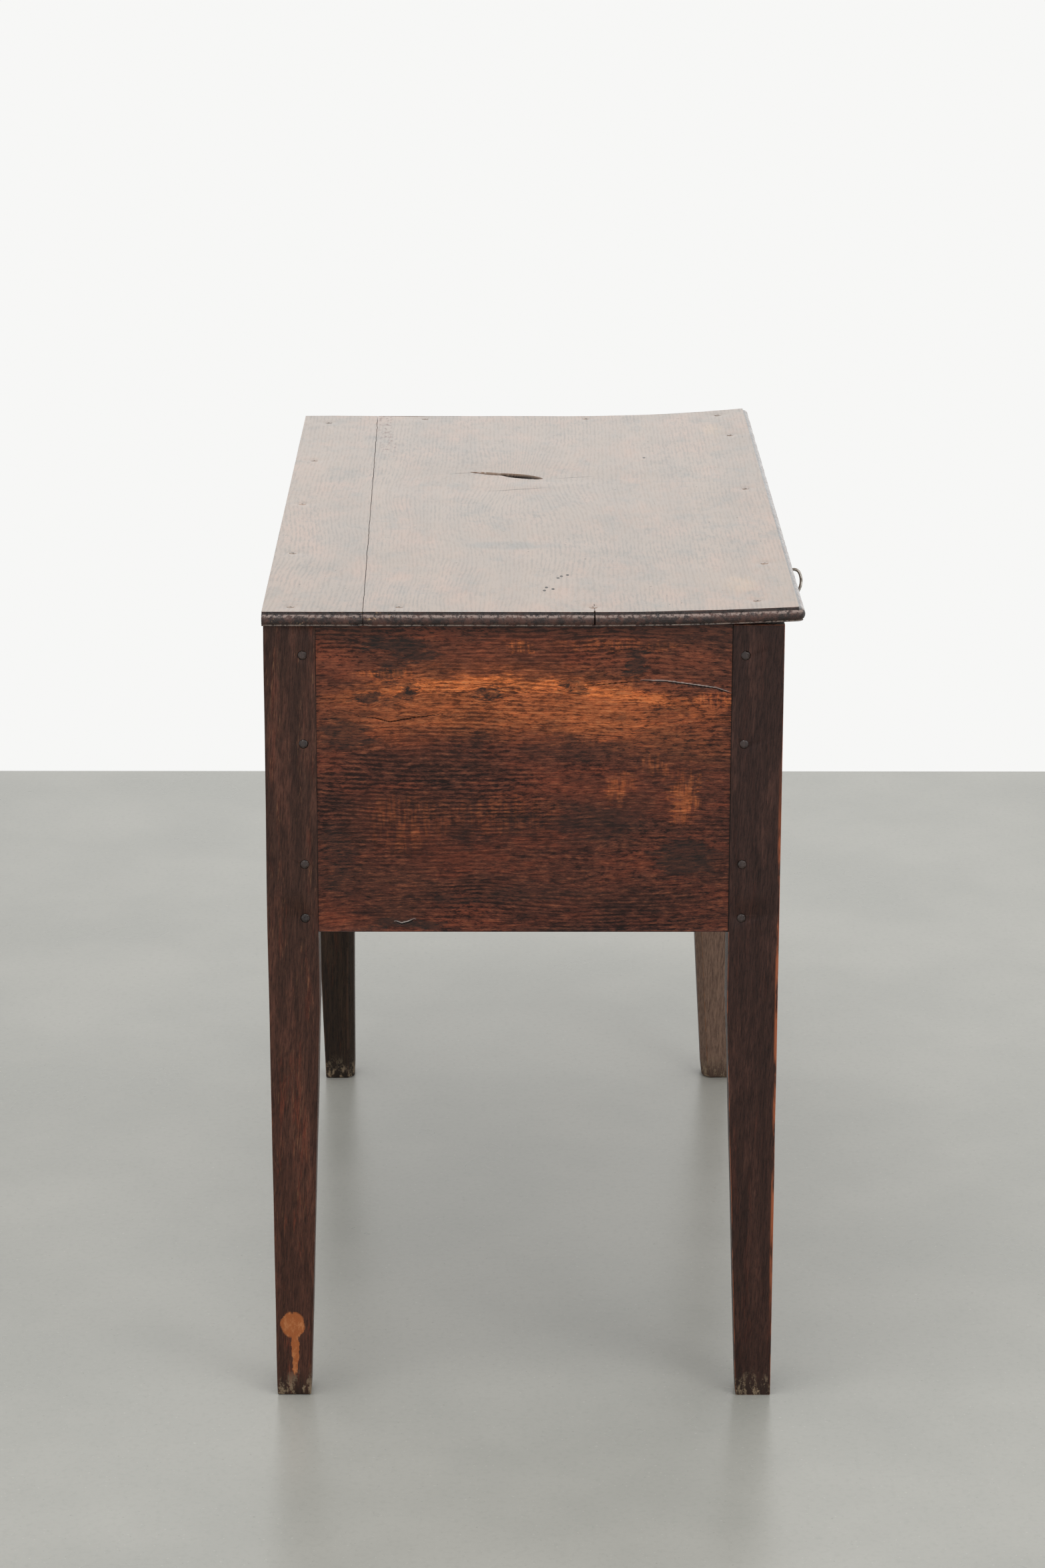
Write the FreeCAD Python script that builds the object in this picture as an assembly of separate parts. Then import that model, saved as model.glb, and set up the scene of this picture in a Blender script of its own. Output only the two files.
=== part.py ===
import FreeCAD, Part
import math
import os

from FreeCAD import Vector

# An oak side table with drawers (a lowboy): four square tapered legs, wide pegged side
# boards, a two-board top with a moulded edge, one long drawer with a lock and key, and
# two small drawers on either side of a kneehole. Millimetres, +Z up, floor at z = 0.
# X runs along the length (the left end is -X) and the front faces -Y. The origin is on
# the floor, midway between the ends, and midway between the back edge of the top and
# the tip of the key.

# Whole object
height = 720.0
case_length = 867.0
case_depth = 443.0
key_reach = 46.0

# Legs. Age has bent them a little: below the case each leans in (or out, if negative)
# along the depth of the table. By (end, face): left and front are -1.
leg_size = 44.0
foot_size = 33.0
foot_widths = {(-1, -1): 31.0, (-1, 1): 30.0, (1, -1): 31.0, (1, 1): 31.0}
foot_leans = {(-1, -1): 0.0, (-1, 1): 3.0, (1, -1): -8.0, (1, 1): 14.0}
taper_margin = 72.0
leg_chamfer = 7.0

# Top
top_thickness = 12.0
end_overhang = 8.0
front_overhang = 17.0
back_overhang = 1.0
moulding_step = 2.0
moulding_inset = 5.5
corner_round = 6.0
nose_tip_share = 0.3
narrow_board_left = 86.0
narrow_board_right = 75.0
board_gap = 0.8
cup_run = 185.0
cup_lift_left = 5.0
cup_lift_right = 9.0
knot_length = 43.0
knot_width = 18.0
knot_depth = 7.0
knot_place = (136.0, 23.6)

# Frame of the case
side_thickness = 20.0
side_setback = 1.0
back_thickness = 20.0
back_setback = 2.0
back_split = 140.0
board_seam = 0.5
rail_setback = 1.0
top_rail_height = 22.0
long_opening_height = 100.0
middle_rail_height = 20.0
small_opening_height = 110.0
bottom_rail_height = 22.0
small_opening_width = 235.0
upright_width = 22.0
cheek_thickness = 14.0
apron_thickness = 18.0
apron_depth = 64.0
apron_shoulder = 14.0
apron_cove = 18.0
apron_fillet = 6.0
apron_rise = 18.0

# Joints of the frame
tenon_thickness = 8.0
tenon_inset = 7.0
tenon_length = 24.0
tenon_shoulder = 6.0
stub_length = 9.0
joint_gap = 0.2
peg_diameter = 7.5
side_peg_length = 26.0
rail_peg_length = 34.0
top_peg_length = 34.0
peg_proud = 0.8
peg_chamfer = 0.6
peg_clearance = 0.05
side_peg_margin = 11.0
side_peg_drops = (27.0, 105.0, 212.5, 261.0)
rail_peg_margin = 8.0
nail_diameter = 3.2
nail_head = 7.0
nail_head_height = 1.2
nail_length = 45.0
nail_share = 0.3

# Pegs through the top, driven by eye. In the legs: (end, face, distance out from the
# leg's inner face, distance in from the face of the case)
leg_top_pegs = ((-1, 1, 28.0, 23.0), (-1, -1, 16.5, 22.0), (1, 1, 10.0, 24.5), (1, -1, 22.0, 15.0))
# In the side boards: (end, distance from the back of the case, distance out from the row)
side_top_pegs = ((-1, 115.0, 0.0), (-1, 280.5, 0.0), (1, 124.0, 3.0), (1, 291.0, 6.0))
# In the top rail and the back board: (face, distance right of the middle, distance in
# from the face of the case)
rail_top_pegs = ((-1, 305.0, 7.5), (-1, 46.0, 6.5), (-1, -268.0, 7.5),
                 (1, 0.0, 14.5), (1, 204.0, 17.5), (1, -210.0, 15.5))

# Runners, guides, kickers and stops
shelf_reach = 15.0
runner_height = 18.0
guide_height = 20.0
kicker_height = 18.0
stop_width = 30.0
stop_depth = 15.0
stop_height = 5.0
stop_margin = 0.3
stop_share = 0.6

# Drawers
side_gap = 1.0
slide_gap = 0.3
top_gap = 1.2
rear_gap = 8.0
drawer_front_thickness = 20.0
drawer_side_thickness = 11.0
drawer_back_thickness = 11.0
drawer_bottom_thickness = 6.0
bottom_raise = 8.0
groove_depth = 5.0
groove_gap = 0.1
side_drop = 3.0
back_drop = 8.0
tail_count = 3
tail_root_share = 0.28
tail_slope = 1.0 / 6.0
bead_thickness = 3.0
bead_depth = 10.0
bead_proud = 2.0
bead_round = 1.3
lap_skin = 1.0

# Lock, key and its plate
keyhole_drop = 39.8
key_shank = 6.0
key_bore = 3.14
key_pin = 3.0
key_bit_reach = 9.5
key_bit_width = 3.6
key_bit_thickness = 2.4
key_bow_across = 30.4
key_bow_along = 20.2
key_bow_tip_radius = 6.2
key_wire = 2.8
key_neck_share = 0.8
key_droop = 12.0
key_collar = 9.0
key_collar_width = 2.5
keyhole_gap = 0.5
lock_width = 44.0
lock_below = 20.0
lock_bead_gap = 0.1
lock_wall = 1.2
lock_plate = 1.5
lock_plate_margin = 9.0
bolt_width = 29.0
bolt_thickness = 4.2
bolt_web = 3.5
bolt_rise = 7.0
bolt_gap = 0.3
bolt_talon = 3.3
screw_diameter = 3.0
screw_head = 6.0
screw_head_height = 1.2
screw_length = 8.0
escutcheon_height = 40.0
escutcheon_width = 25.0
escutcheon_thickness = 1.2

# Ring pulls of the small drawers
ring_diameter = 34.0
ring_wire = 3.0
eye_hole = 4.4
eye_wire = 2.2
eye_wear = 0.3
eye_stand = 0.3
rosette_diameter = 30.0
rosette_thickness = 1.5
staple_shank = 3.0
staple_clench = 24.0
staple_gap = 0.1

# Places worked out from the sizes above
case_middle_y = (key_reach - back_overhang) / 2
front_y = case_middle_y - case_depth / 2
back_y = front_y + case_depth
case_half = case_length / 2
leg_inner_x = case_half - leg_size
front_leg_inner_y = front_y + leg_size
back_leg_inner_y = back_y - leg_size

top_half = case_half + end_overhang
top_front_y = front_y - front_overhang
top_back_y = back_y + back_overhang
cup_start_y = top_front_y + cup_run
bead_radius = (top_thickness - moulding_step) / 2

case_top = height - top_thickness
top_rail_low = case_top - top_rail_height
middle_rail_top = top_rail_low - long_opening_height
middle_rail_low = middle_rail_top - middle_rail_height
bottom_rail_top = middle_rail_low - small_opening_height
case_low = bottom_rail_top - bottom_rail_height
taper_start = case_low - taper_margin

side_outer_x = case_half - side_setback
side_inner_x = side_outer_x - side_thickness
back_outer_y = back_y - back_setback
back_inner_y = back_outer_y - back_thickness
rail_front_y = front_y + rail_setback
rail_back_y = front_leg_inner_y
upright_outer_x = leg_inner_x - small_opening_width
upright_inner_x = upright_outer_x - upright_width
cheek_inner_x = upright_outer_x - cheek_thickness

drawer_rear_y = rail_front_y + drawer_front_thickness
drawer_end_y = back_inner_y - rear_gap
long_front_top = top_rail_low - top_gap
key_z = long_front_top - keyhole_drop
pull_z = (bottom_rail_top + middle_rail_low) / 2
pull_x = leg_inner_x - small_opening_width / 2
lap = drawer_front_thickness - bead_depth - lap_skin
lock_recess = drawer_front_thickness - bead_depth - lock_plate - lock_bead_gap
overlap = 1.0


# ---------------------------------------------------------------- shared helpers
def block(x0, x1, y0, y1, z0, z1):
    low = Vector(min(x0, x1), min(y0, y1), min(z0, z1))
    return Part.makeBox(abs(x1 - x0), abs(y1 - y0), abs(z1 - z0), low)


def grown(extents, gap):
    """The block's extents made larger by a gap on every side."""
    x0, x1, y0, y1, z0, z1 = extents
    return (min(x0, x1) - gap, max(x0, x1) + gap, min(y0, y1) - gap,
            max(y0, y1) + gap, min(z0, z1) - gap, max(z0, z1) + gap)


def rod(start, direction, length, diameter):
    return Part.makeCylinder(diameter / 2, length, start, direction)


def peg_hole(start, direction, length, diameter):
    """The clearance hole for a peg or nail, a little deeper than the peg."""
    unit = Vector(direction).normalize()
    return rod(start - unit * overlap, unit, length + 2 * overlap, diameter + 2 * peg_clearance)


def peg(start, direction, length):
    """A round oak peg whose head stands a little proud of the face at start."""
    unit = Vector(direction).normalize()
    whole = length + peg_proud
    body = rod(start - unit * peg_proud, unit, whole, peg_diameter)
    rims = [edge for edge in body.Edges if len(edge.Vertexes) == 1
            and abs((edge.CenterOfMass - (start - unit * peg_proud)).dot(unit)) < 0.01]
    return body.makeChamfer(peg_chamfer, rims)


def prism_x(points, x0, x1):
    """A straight-sided outline of (y, z) points, extruded along X."""
    corners = [Vector(min(x0, x1), y, z) for y, z in points]
    face = Part.Face(Part.makePolygon(corners + corners[:1]))
    return face.extrude(Vector(abs(x1 - x0), 0, 0))


def fused(shape, others):
    return shape.fuse(others).removeSplitter() if others else shape


def cut(shape, others):
    return shape.cut(others) if others else shape


def save(name, shapes):
    """Writes one sub-part; several separate solids go in one file together."""
    solids = [solid for shape in shapes for solid in shape.Solids]
    for solid in solids:
        if not solid.isValid() or solid.Volume <= 0:
            raise ValueError("bad solid in " + name)
    whole = solids[0] if len(solids) == 1 else Part.makeCompound(solids)
    whole.exportStep("parts/" + name + ".step")


# ---------------------------------------------------------------- joints of the frame
def side_tenon(side, row):
    """The tongue of a side board in a front (-1) or back (+1) leg."""
    face_y = front_leg_inner_y if row < 0 else back_leg_inner_y
    outer = side_outer_x - tenon_inset + side_setback
    return (side * outer, side * (outer - tenon_thickness), face_y, face_y + row * tenon_length,
            case_low + tenon_shoulder, case_top - tenon_shoulder)


def back_tenon(side, low, high):
    """The tongue of a back board in a back leg."""
    outer = back_y - tenon_inset
    return (side * leg_inner_x, side * (leg_inner_x + tenon_length),
            outer - tenon_thickness, outer, low + tenon_shoulder, high - tenon_shoulder)


def rail_tenon(side, low, high):
    """The tenon of a front rail in a front leg, which stops short of the side pegs."""
    shoulder = (high - low - tenon_thickness) / 2
    peg_face = front_leg_inner_y - side_peg_margin - peg_diameter / 2
    return (side * leg_inner_x, side * (leg_inner_x + tenon_length), rail_front_y + tenon_inset,
            peg_face - 2 * joint_gap, low + shoulder, high - shoulder)


def upright_tenon(side):
    """The tenon of an upright in the underside of the middle rail."""
    return (side * (upright_inner_x + tenon_inset), side * (upright_outer_x - tenon_inset),
            rail_front_y + tenon_inset, rail_back_y - tenon_inset,
            middle_rail_low, middle_rail_low + stub_length)


def bottom_rail_stub(side):
    """The stub tenon of a bottom rail in its upright."""
    shoulder = (bottom_rail_height - tenon_thickness) / 2
    return (side * upright_outer_x, side * (upright_outer_x - stub_length),
            rail_front_y + tenon_inset, rail_back_y - tenon_inset,
            case_low + shoulder, bottom_rail_top - shoulder)


def runner_tongue(side, inner_x, outer_x, top):
    """The tongue of a drawer runner in the back of the rail before it."""
    shoulder = (runner_height - tenon_thickness) / 2
    return (side * inner_x, side * outer_x, rail_back_y - stub_length / 2, rail_back_y,
            top - runner_height + shoulder, top - shoulder)


def side_peg_starts(side, row):
    """Where the pegs of a side board's joint meet the leg's outer face."""
    outer_y = front_y if row < 0 else back_y
    y = outer_y - row * (leg_size - side_peg_margin)
    return [Vector(side * case_half, y, case_top - drop) for drop in side_peg_drops]


def back_peg_starts(side):
    x = side * (leg_inner_x + side_peg_margin)
    return [Vector(x, back_y, case_top - drop) for drop in side_peg_drops]


def rail_levels():
    """Low and high edges of the three front rails that reach the legs."""
    return [(top_rail_low, case_top), (middle_rail_low, middle_rail_top),
            (case_low, bottom_rail_top)]


def rail_peg_starts(side):
    x = side * (leg_inner_x + rail_peg_margin)
    return [Vector(x, front_y, (low + high) / 2) for low, high in rail_levels()]


def rail_peg_holes(side):
    return [peg_hole(start, Vector(0, 1, 0), rail_peg_length, peg_diameter)
            for start in rail_peg_starts(side)]


def side_peg_holes(side):
    return [peg_hole(start, Vector(-side, 0, 0), side_peg_length, peg_diameter)
            for row in (-1, 1) for start in side_peg_starts(side, row)]


def back_peg_holes(side):
    return [peg_hole(start, Vector(0, -1, 0), side_peg_length, peg_diameter)
            for start in back_peg_starts(side)]


# ---------------------------------------------------------------- top boards
def share_along(x):
    """0 at the left end of the top and 1 at its right end."""
    return (x + top_half) / (2 * top_half)


def cup_lift(x, y):
    """How far the wide board has curled up at a point near its front edge."""
    whole = cup_lift_left + (cup_lift_right - cup_lift_left) * share_along(x)
    run = max(0.0, cup_start_y - y) / cup_run
    return whole * run * run


def joint_y(x):
    """The line between the two boards, which isn't parallel to the back edge."""
    width = narrow_board_left + (narrow_board_right - narrow_board_left) * share_along(x)
    return top_back_y - width


def top_surface(x, y):
    return Vector(x, y, height + cup_lift(x, y))


def line(a, b):
    return Part.LineSegment(a, b).toShape()


def arc(a, b, c):
    return Part.Arc(a, b, c).toShape()


def cupped_arc(x, y_from, y_to, z):
    """An edge that follows the cup of the board at height z of the flat board."""
    ys = (y_from, (y_from + y_to) / 2, y_to)
    return arc(*[Vector(x, y, z + cup_lift(x, y)) for y in ys])


def nose_steps():
    """Distance from the end and half height of the rounded nose, tip to full height."""
    for step in range(4):
        angle = math.radians(30 * step)
        depth = bead_radius * (1 - math.cos(angle))
        yield depth, bead_radius * max(math.sin(angle), nose_tip_share)


def end_stations():
    """(x, half height, inset at the corner) from the left end to the right end."""
    left = []
    for depth, half_height in nose_steps():
        inside = max(0.0, corner_round - depth)
        inset = corner_round - math.sqrt(corner_round ** 2 - inside ** 2)
        left.append((-top_half + depth, half_height, inset))
    left.append((-top_half + max(corner_round, bead_radius + 1.0), bead_radius, 0.0))
    return left + [(-x, half_height, inset) for x, half_height, inset in reversed(left)]


def bead_section(x, half_height, inset):
    """The rounded lower layer of the curled front of the wide board, cut across at x."""
    middle = case_top + bead_radius
    low, high = middle - half_height, middle + half_height
    tip_y = top_front_y + inset
    shoulder_y = tip_y + half_height
    lift = cup_lift(x, shoulder_y)
    diagonal = half_height * math.sqrt(0.5)
    tip = Vector(x, tip_y, middle + lift)
    under = Vector(x, shoulder_y, low + lift)
    over = Vector(x, shoulder_y, high + lift)
    lower_mid = Vector(x, shoulder_y - diagonal, middle + lift - diagonal)
    upper_mid = Vector(x, shoulder_y - diagonal, middle + lift + diagonal)
    return Part.Wire([
        cupped_arc(x, cup_start_y, shoulder_y, low),
        arc(under, lower_mid, tip),
        arc(tip, upper_mid, over),
        cupped_arc(x, shoulder_y, cup_start_y, high),
        line(Vector(x, cup_start_y, high), Vector(x, cup_start_y, low))])


def field_section(x):
    """The raised field of the curled front, inside its moulding, cut across at x."""
    low = height - moulding_step - overlap
    edge_y = top_front_y + moulding_inset
    lift = Vector(0, 0, cup_lift(x, edge_y))
    return Part.Wire([
        cupped_arc(x, cup_start_y, edge_y, low),
        line(Vector(x, edge_y, low) + lift, Vector(x, edge_y, height) + lift),
        cupped_arc(x, edge_y, cup_start_y, height),
        line(Vector(x, cup_start_y, height), Vector(x, cup_start_y, low))])


def flat_top():
    """The flat part of the top, from where the curl starts to the back edge."""
    middle = case_top + bead_radius
    nose = [(top_half - depth, half_height) for depth, half_height in nose_steps()]
    right = [(x, middle + half_height) for x, half_height in reversed(nose)]
    right += [(x, middle - half_height) for x, half_height in nose]
    outline = right + [(-x, z) for x, z in reversed(right)]
    corners = [Vector(x, cup_start_y, z) for x, z in outline]
    lower = Part.Face(Part.makePolygon(corners + corners[:1])).extrude(
        Vector(0, top_back_y - cup_start_y, 0))
    field_half = top_half - moulding_inset
    upper = block(-field_half, field_half, cup_start_y, top_back_y,
                  height - moulding_step - overlap, height)
    return lower.fuse(upper)


def beyond_joint(towards):
    """All that lies past the joint line, towards the back (+1) or the front (-1)."""
    reach = top_half + overlap
    edge = [Vector(x, joint_y(x) - towards * board_gap / 2, case_top - overlap)
            for x in (-reach, reach)]
    away = Vector(0, towards * (top_back_y - top_front_y), 0)
    corners = edge + [edge[1] + away, edge[0] + away]
    face = Part.Face(Part.makePolygon(corners + corners[:1]))
    return face.extrude(Vector(0, 0, top_thickness + 2 * overlap))


def in_from_face(row, distance):
    """The y that far in from the front (-1) or back (+1) face of the case."""
    return (front_y if row < 0 else back_y) - row * distance


def top_peg_starts():
    row_x = side_inner_x + side_thickness / 4
    places = [(end * (leg_inner_x + out), in_from_face(row, inwards))
              for end, row, out, inwards in leg_top_pegs]
    places += [(end * (row_x + out), in_from_face(1, inwards))
               for end, inwards, out in side_top_pegs]
    places += [(x, in_from_face(row, inwards)) for row, x, inwards in rail_top_pegs]
    return [top_surface(x, y) for x, y in places]


def top_peg_holes():
    return [peg_hole(start, Vector(0, 0, -1), top_peg_length, peg_diameter)
            for start in top_peg_starts()]


def knot_pit():
    """The lens-shaped hollow that a lost knot left in the wide board."""
    x, y = knot_place
    long_half, wide_half = knot_length / 2, knot_width / 2
    floor_z = height - knot_depth
    ends = (Vector(x + wide_half / 2, y + long_half, floor_z),
            Vector(x - wide_half / 2, y - long_half, floor_z))
    rim = Part.Wire([arc(ends[0], Vector(x + wide_half, y, floor_z), ends[1]),
                     arc(ends[1], Vector(x - wide_half, y, floor_z), ends[0])])
    return Part.Face(rim).extrude(Vector(0, 0, knot_depth + overlap))


def wide_top_board():
    bead = Part.makeLoft([bead_section(*station) for station in end_stations()], True, True)
    field_half = top_half - moulding_inset
    field = Part.makeLoft([field_section(-field_half), field_section(field_half)], True, True)
    flat = flat_top().cut(beyond_joint(1))
    return flat.fuse([bead, field]).cut([knot_pit()] + top_peg_holes())


def narrow_top_board():
    return flat_top().cut([beyond_joint(-1)] + top_peg_holes())


# ---------------------------------------------------------------- legs
def leg_section(side, row, z, chamfer):
    """A leg cut across at z: square above, drawn in on its two inner faces below."""
    below_taper = max(0.0, taper_start - z) / taper_start
    length = leg_size - (leg_size - foot_size) * below_taper
    width = leg_size - (leg_size - foot_widths[side, row]) * below_taper
    lean = foot_leans[side, row] * max(0.0, case_low - z) / case_low
    outer_x, inner_x = side * case_half, side * (case_half - length)
    outer_y = (front_y if row < 0 else back_y) - row * lean
    inner_y = outer_y - row * width
    points = [(outer_x, outer_y), (outer_x, inner_y)]
    if chamfer:
        points += [(inner_x + side * chamfer, inner_y), (inner_x, inner_y + row * chamfer)]
    else:
        points += [(inner_x, inner_y)]
    points += [(inner_x, outer_y)]
    corners = [Vector(x, y, z) for x, y in points]
    return Part.makePolygon(corners + corners[:1])


def leg(side, row):
    lower = Part.makeLoft([leg_section(side, row, z, leg_chamfer)
                           for z in (0.0, taper_start)], True, True)
    upper = Part.makeLoft([leg_section(side, row, z, 0.0)
                           for z in (taper_start, case_low, case_top)], True, True)
    mortises = [block(*grown(side_tenon(side, row), joint_gap))]
    if row < 0:
        mortises += [block(*grown(rail_tenon(side, low, high), joint_gap))
                     for low, high in rail_levels()]
        holes = rail_peg_holes(side)
    else:
        mortises += [block(*grown(back_tenon(side, low, high), joint_gap))
                     for low, high in back_board_levels()]
        holes = back_peg_holes(side)
    return cut(fused(lower, [upper]), mortises + holes + side_peg_holes(side) + top_peg_holes())


# ---------------------------------------------------------------- boards of the case
def side_board(side):
    body = block(side * side_outer_x, side * side_inner_x, front_leg_inner_y,
                 back_leg_inner_y, case_low, case_top)
    tongues = [block(*side_tenon(side, row)) for row in (-1, 1)]
    return cut(fused(body, tongues), side_peg_holes(side) + top_peg_holes())


def back_board_levels():
    """Low and high edges of the lower and upper back boards."""
    split = case_low + back_split
    return [(case_low, split - board_seam / 2), (split + board_seam / 2, case_top)]


def back_board(low, high):
    body = block(-leg_inner_x, leg_inner_x, back_inner_y, back_outer_y, low, high)
    tongues = [block(*back_tenon(side, low, high)) for side in (-1, 1)]
    holes = back_peg_holes(-1) + back_peg_holes(1) + top_peg_holes() + cheek_nail_holes()
    return cut(fused(body, tongues), holes)


# ---------------------------------------------------------------- front frame
def bolt_mortise():
    """The pocket in the top rail that the lock's bolt rises into."""
    half = bolt_width / 2 + bolt_gap
    y0 = bolt_front_y - bolt_gap
    y1 = bolt_front_y + bolt_thickness + bolt_gap
    return block(-half, half, y0, y1, top_rail_low, top_rail_low + bolt_rise + bolt_gap)


def long_rail(low, high):
    body = block(-leg_inner_x, leg_inner_x, rail_front_y, rail_back_y, low, high)
    tenons = [block(*rail_tenon(side, low, high)) for side in (-1, 1)]
    return fused(body, tenons)


def top_rail():
    holes = rail_peg_holes(-1) + rail_peg_holes(1) + top_peg_holes() + [bolt_mortise()]
    return cut(long_rail(top_rail_low, case_top), holes)


def middle_rail():
    mortises = [block(*grown(upright_tenon(side), joint_gap)) for side in (-1, 1)]
    mortises += [block(*grown(long_runner_tongue(side), joint_gap)) for side in (-1, 1)]
    holes = rail_peg_holes(-1) + rail_peg_holes(1)
    return cut(long_rail(middle_rail_low, middle_rail_top), mortises + holes)


def bottom_rail(side):
    body = block(side * leg_inner_x, side * upright_outer_x, rail_front_y, rail_back_y,
                 case_low, bottom_rail_top)
    tenons = [block(*rail_tenon(side, case_low, bottom_rail_top)),
              block(*bottom_rail_stub(side))]
    mortises = [block(*grown(small_runner_tongue(side, outer), joint_gap))
                for outer in (True, False)]
    return cut(fused(body, tenons), mortises + rail_peg_holes(side))


def upright(side):
    body = block(side * upright_outer_x, side * upright_inner_x, rail_front_y, rail_back_y,
                 case_low, middle_rail_low)
    mortise = block(*grown(bottom_rail_stub(side), joint_gap))
    return cut(fused(body, [block(*upright_tenon(side))]), [mortise])


def kneehole_apron():
    """A thin board under the middle rail, its lower edge sawn to coves and a low arch."""
    half = upright_inner_x
    z_low = middle_rail_low - apron_depth
    z_cove = z_low + apron_cove
    x_cove = half - apron_shoulder
    x_arch = x_cove - apron_cove - apron_fillet
    turn = apron_cove * (1 - math.sqrt(0.5))
    y = rail_front_y

    def place(x, z):
        return Vector(x, y, z)

    def end(sign):
        """The coved end of the lower edge, from the upright to the arch."""
        return [line(place(sign * half, z_low), place(sign * x_cove, z_low)),
                arc(place(sign * x_cove, z_low),
                    place(sign * (x_cove - turn), z_cove - turn),
                    place(sign * (x_cove - apron_cove), z_cove)),
                line(place(sign * (x_cove - apron_cove), z_cove), place(sign * x_arch, z_cove))]

    top = [line(place(-half, middle_rail_low), place(half, middle_rail_low)),
           line(place(half, middle_rail_low), place(half, z_low)),
           line(place(-half, middle_rail_low), place(-half, z_low))]
    crown = arc(place(-x_arch, z_cove), place(0, z_cove + apron_rise), place(x_arch, z_cove))
    outline = Part.Wire(Part.__sortEdges__(top + end(1) + end(-1) + [crown]))
    return Part.Face(outline).extrude(Vector(0, apron_thickness, 0))


def kneehole_cheek(side):
    """The partition behind an upright, which closes a small drawer's housing."""
    body = block(side * upright_outer_x, side * cheek_inner_x, rail_back_y, back_inner_y,
                 case_low, middle_rail_low)
    return cut(body, cheek_nail_holes())


def cheek_nail_starts():
    x = upright_outer_x - cheek_thickness / 2
    inset = small_opening_height * nail_share
    heights = (case_low + inset, middle_rail_low - inset)
    return [Vector(side * x, back_outer_y, z) for side in (-1, 1) for z in heights]


def cheek_nail_holes():
    return [peg_hole(start, Vector(0, -1, 0), nail_length, nail_diameter)
            for start in cheek_nail_starts()]


def back_nails():
    nails = []
    for start in cheek_nail_starts():
        shank = rod(start, Vector(0, -1, 0), nail_length, nail_diameter)
        head = rod(start, Vector(0, 1, 0), nail_head_height, nail_head)
        nails.append(shank.fuse(head))
    return nails


# ---------------------------------------------------------------- runners and stops
def long_runner_tongue(side):
    return runner_tongue(side, leg_inner_x - shelf_reach, leg_inner_x - joint_gap, middle_rail_top)


def small_runner_tongue(side, outer):
    if outer:
        return runner_tongue(side, leg_inner_x - shelf_reach, leg_inner_x - joint_gap,
                             bottom_rail_top)
    return runner_tongue(side, upright_outer_x + joint_gap, upright_outer_x + shelf_reach,
                         bottom_rail_top)


def rebated_runner(side, top, tongue):
    """An L-shaped strip: its shelf carries a drawer side and its lip guides it."""
    shelf = block(side * side_inner_x, side * (leg_inner_x - shelf_reach), front_leg_inner_y,
                  back_leg_inner_y, top - runner_height, top)
    lip = block(side * side_inner_x, side * leg_inner_x, front_leg_inner_y,
                back_leg_inner_y, top, top + guide_height)
    return fused(shelf, [lip, block(*tongue)])


def inner_runner(side):
    """The plain runner that is nailed to a cheek of the kneehole."""
    shelf = block(side * upright_outer_x, side * (upright_outer_x + shelf_reach), rail_back_y,
                  back_inner_y, bottom_rail_top - runner_height, bottom_rail_top)
    return fused(shelf, [block(*small_runner_tongue(side, False))])


def kicker(side):
    """The strip above a side of the long drawer, which keeps it from tipping."""
    body = block(side * side_inner_x, side * (leg_inner_x - shelf_reach), front_leg_inner_y,
                 back_leg_inner_y, top_rail_low, top_rail_low + kicker_height)
    return cut(body, top_peg_holes())


def drawer_stops():
    """Small blocks behind each drawer front that stop it flush with the rails."""
    places = [(side * leg_inner_x * stop_share, middle_rail_top) for side in (-1, 1)]
    places += [(side * pull_x + shift * small_opening_width / 4, bottom_rail_top)
               for side in (-1, 1) for shift in (-1, 1)]
    y = drawer_rear_y + stop_margin
    return [block(x - stop_width / 2, x + stop_width / 2, y, y + stop_depth, z, z + stop_height)
            for x, z in places]


# ---------------------------------------------------------------- drawers
def dovetails(x0, x1, y_root, y_tip, low, high):
    """The tails at one end of a drawer side; the board across gets their sockets."""
    pitch = (high - low) / tail_count
    root = pitch * tail_root_share
    tip = root + abs(y_tip - y_root) * tail_slope
    tails = []
    for number in range(tail_count):
        z = low + pitch * (number + 0.5)
        outline = [(y_root, z - root), (y_root, z + root), (y_tip, z + tip), (y_tip, z - tip)]
        tails.append(prism_x(outline, x0, x1))
    return tails


def bead_frame(left, right, low, high):
    """Four mitred strips let in round the edge of a drawer front."""
    y0 = rail_front_y - bead_proud
    y1 = rail_front_y + bead_depth
    t = bead_thickness
    outer = [(left, low), (right, low), (right, high), (left, high)]
    inner = [(left + t, low + t), (right - t, low + t), (right - t, high - t), (left + t, high - t)]
    strips = []
    for number in range(4):
        after = (number + 1) % 4
        corners = [Vector(x, y1, z) for x, z in
                   (outer[number], outer[after], inner[after], inner[number])]
        strip = Part.Face(Part.makePolygon(corners + corners[:1])).extrude(Vector(0, y0 - y1, 0))
        along = Vector(corners[1] - corners[0]).normalize()
        nose = [edge for edge in strip.Edges
                if all(abs(vertex.Y - y0) < 0.01 for vertex in edge.Vertexes)
                and abs(edge.tangentAt(edge.FirstParameter).dot(along)) > 0.999]
        strips.append(strip.makeFillet(bead_round, nose))
    return strips


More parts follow.
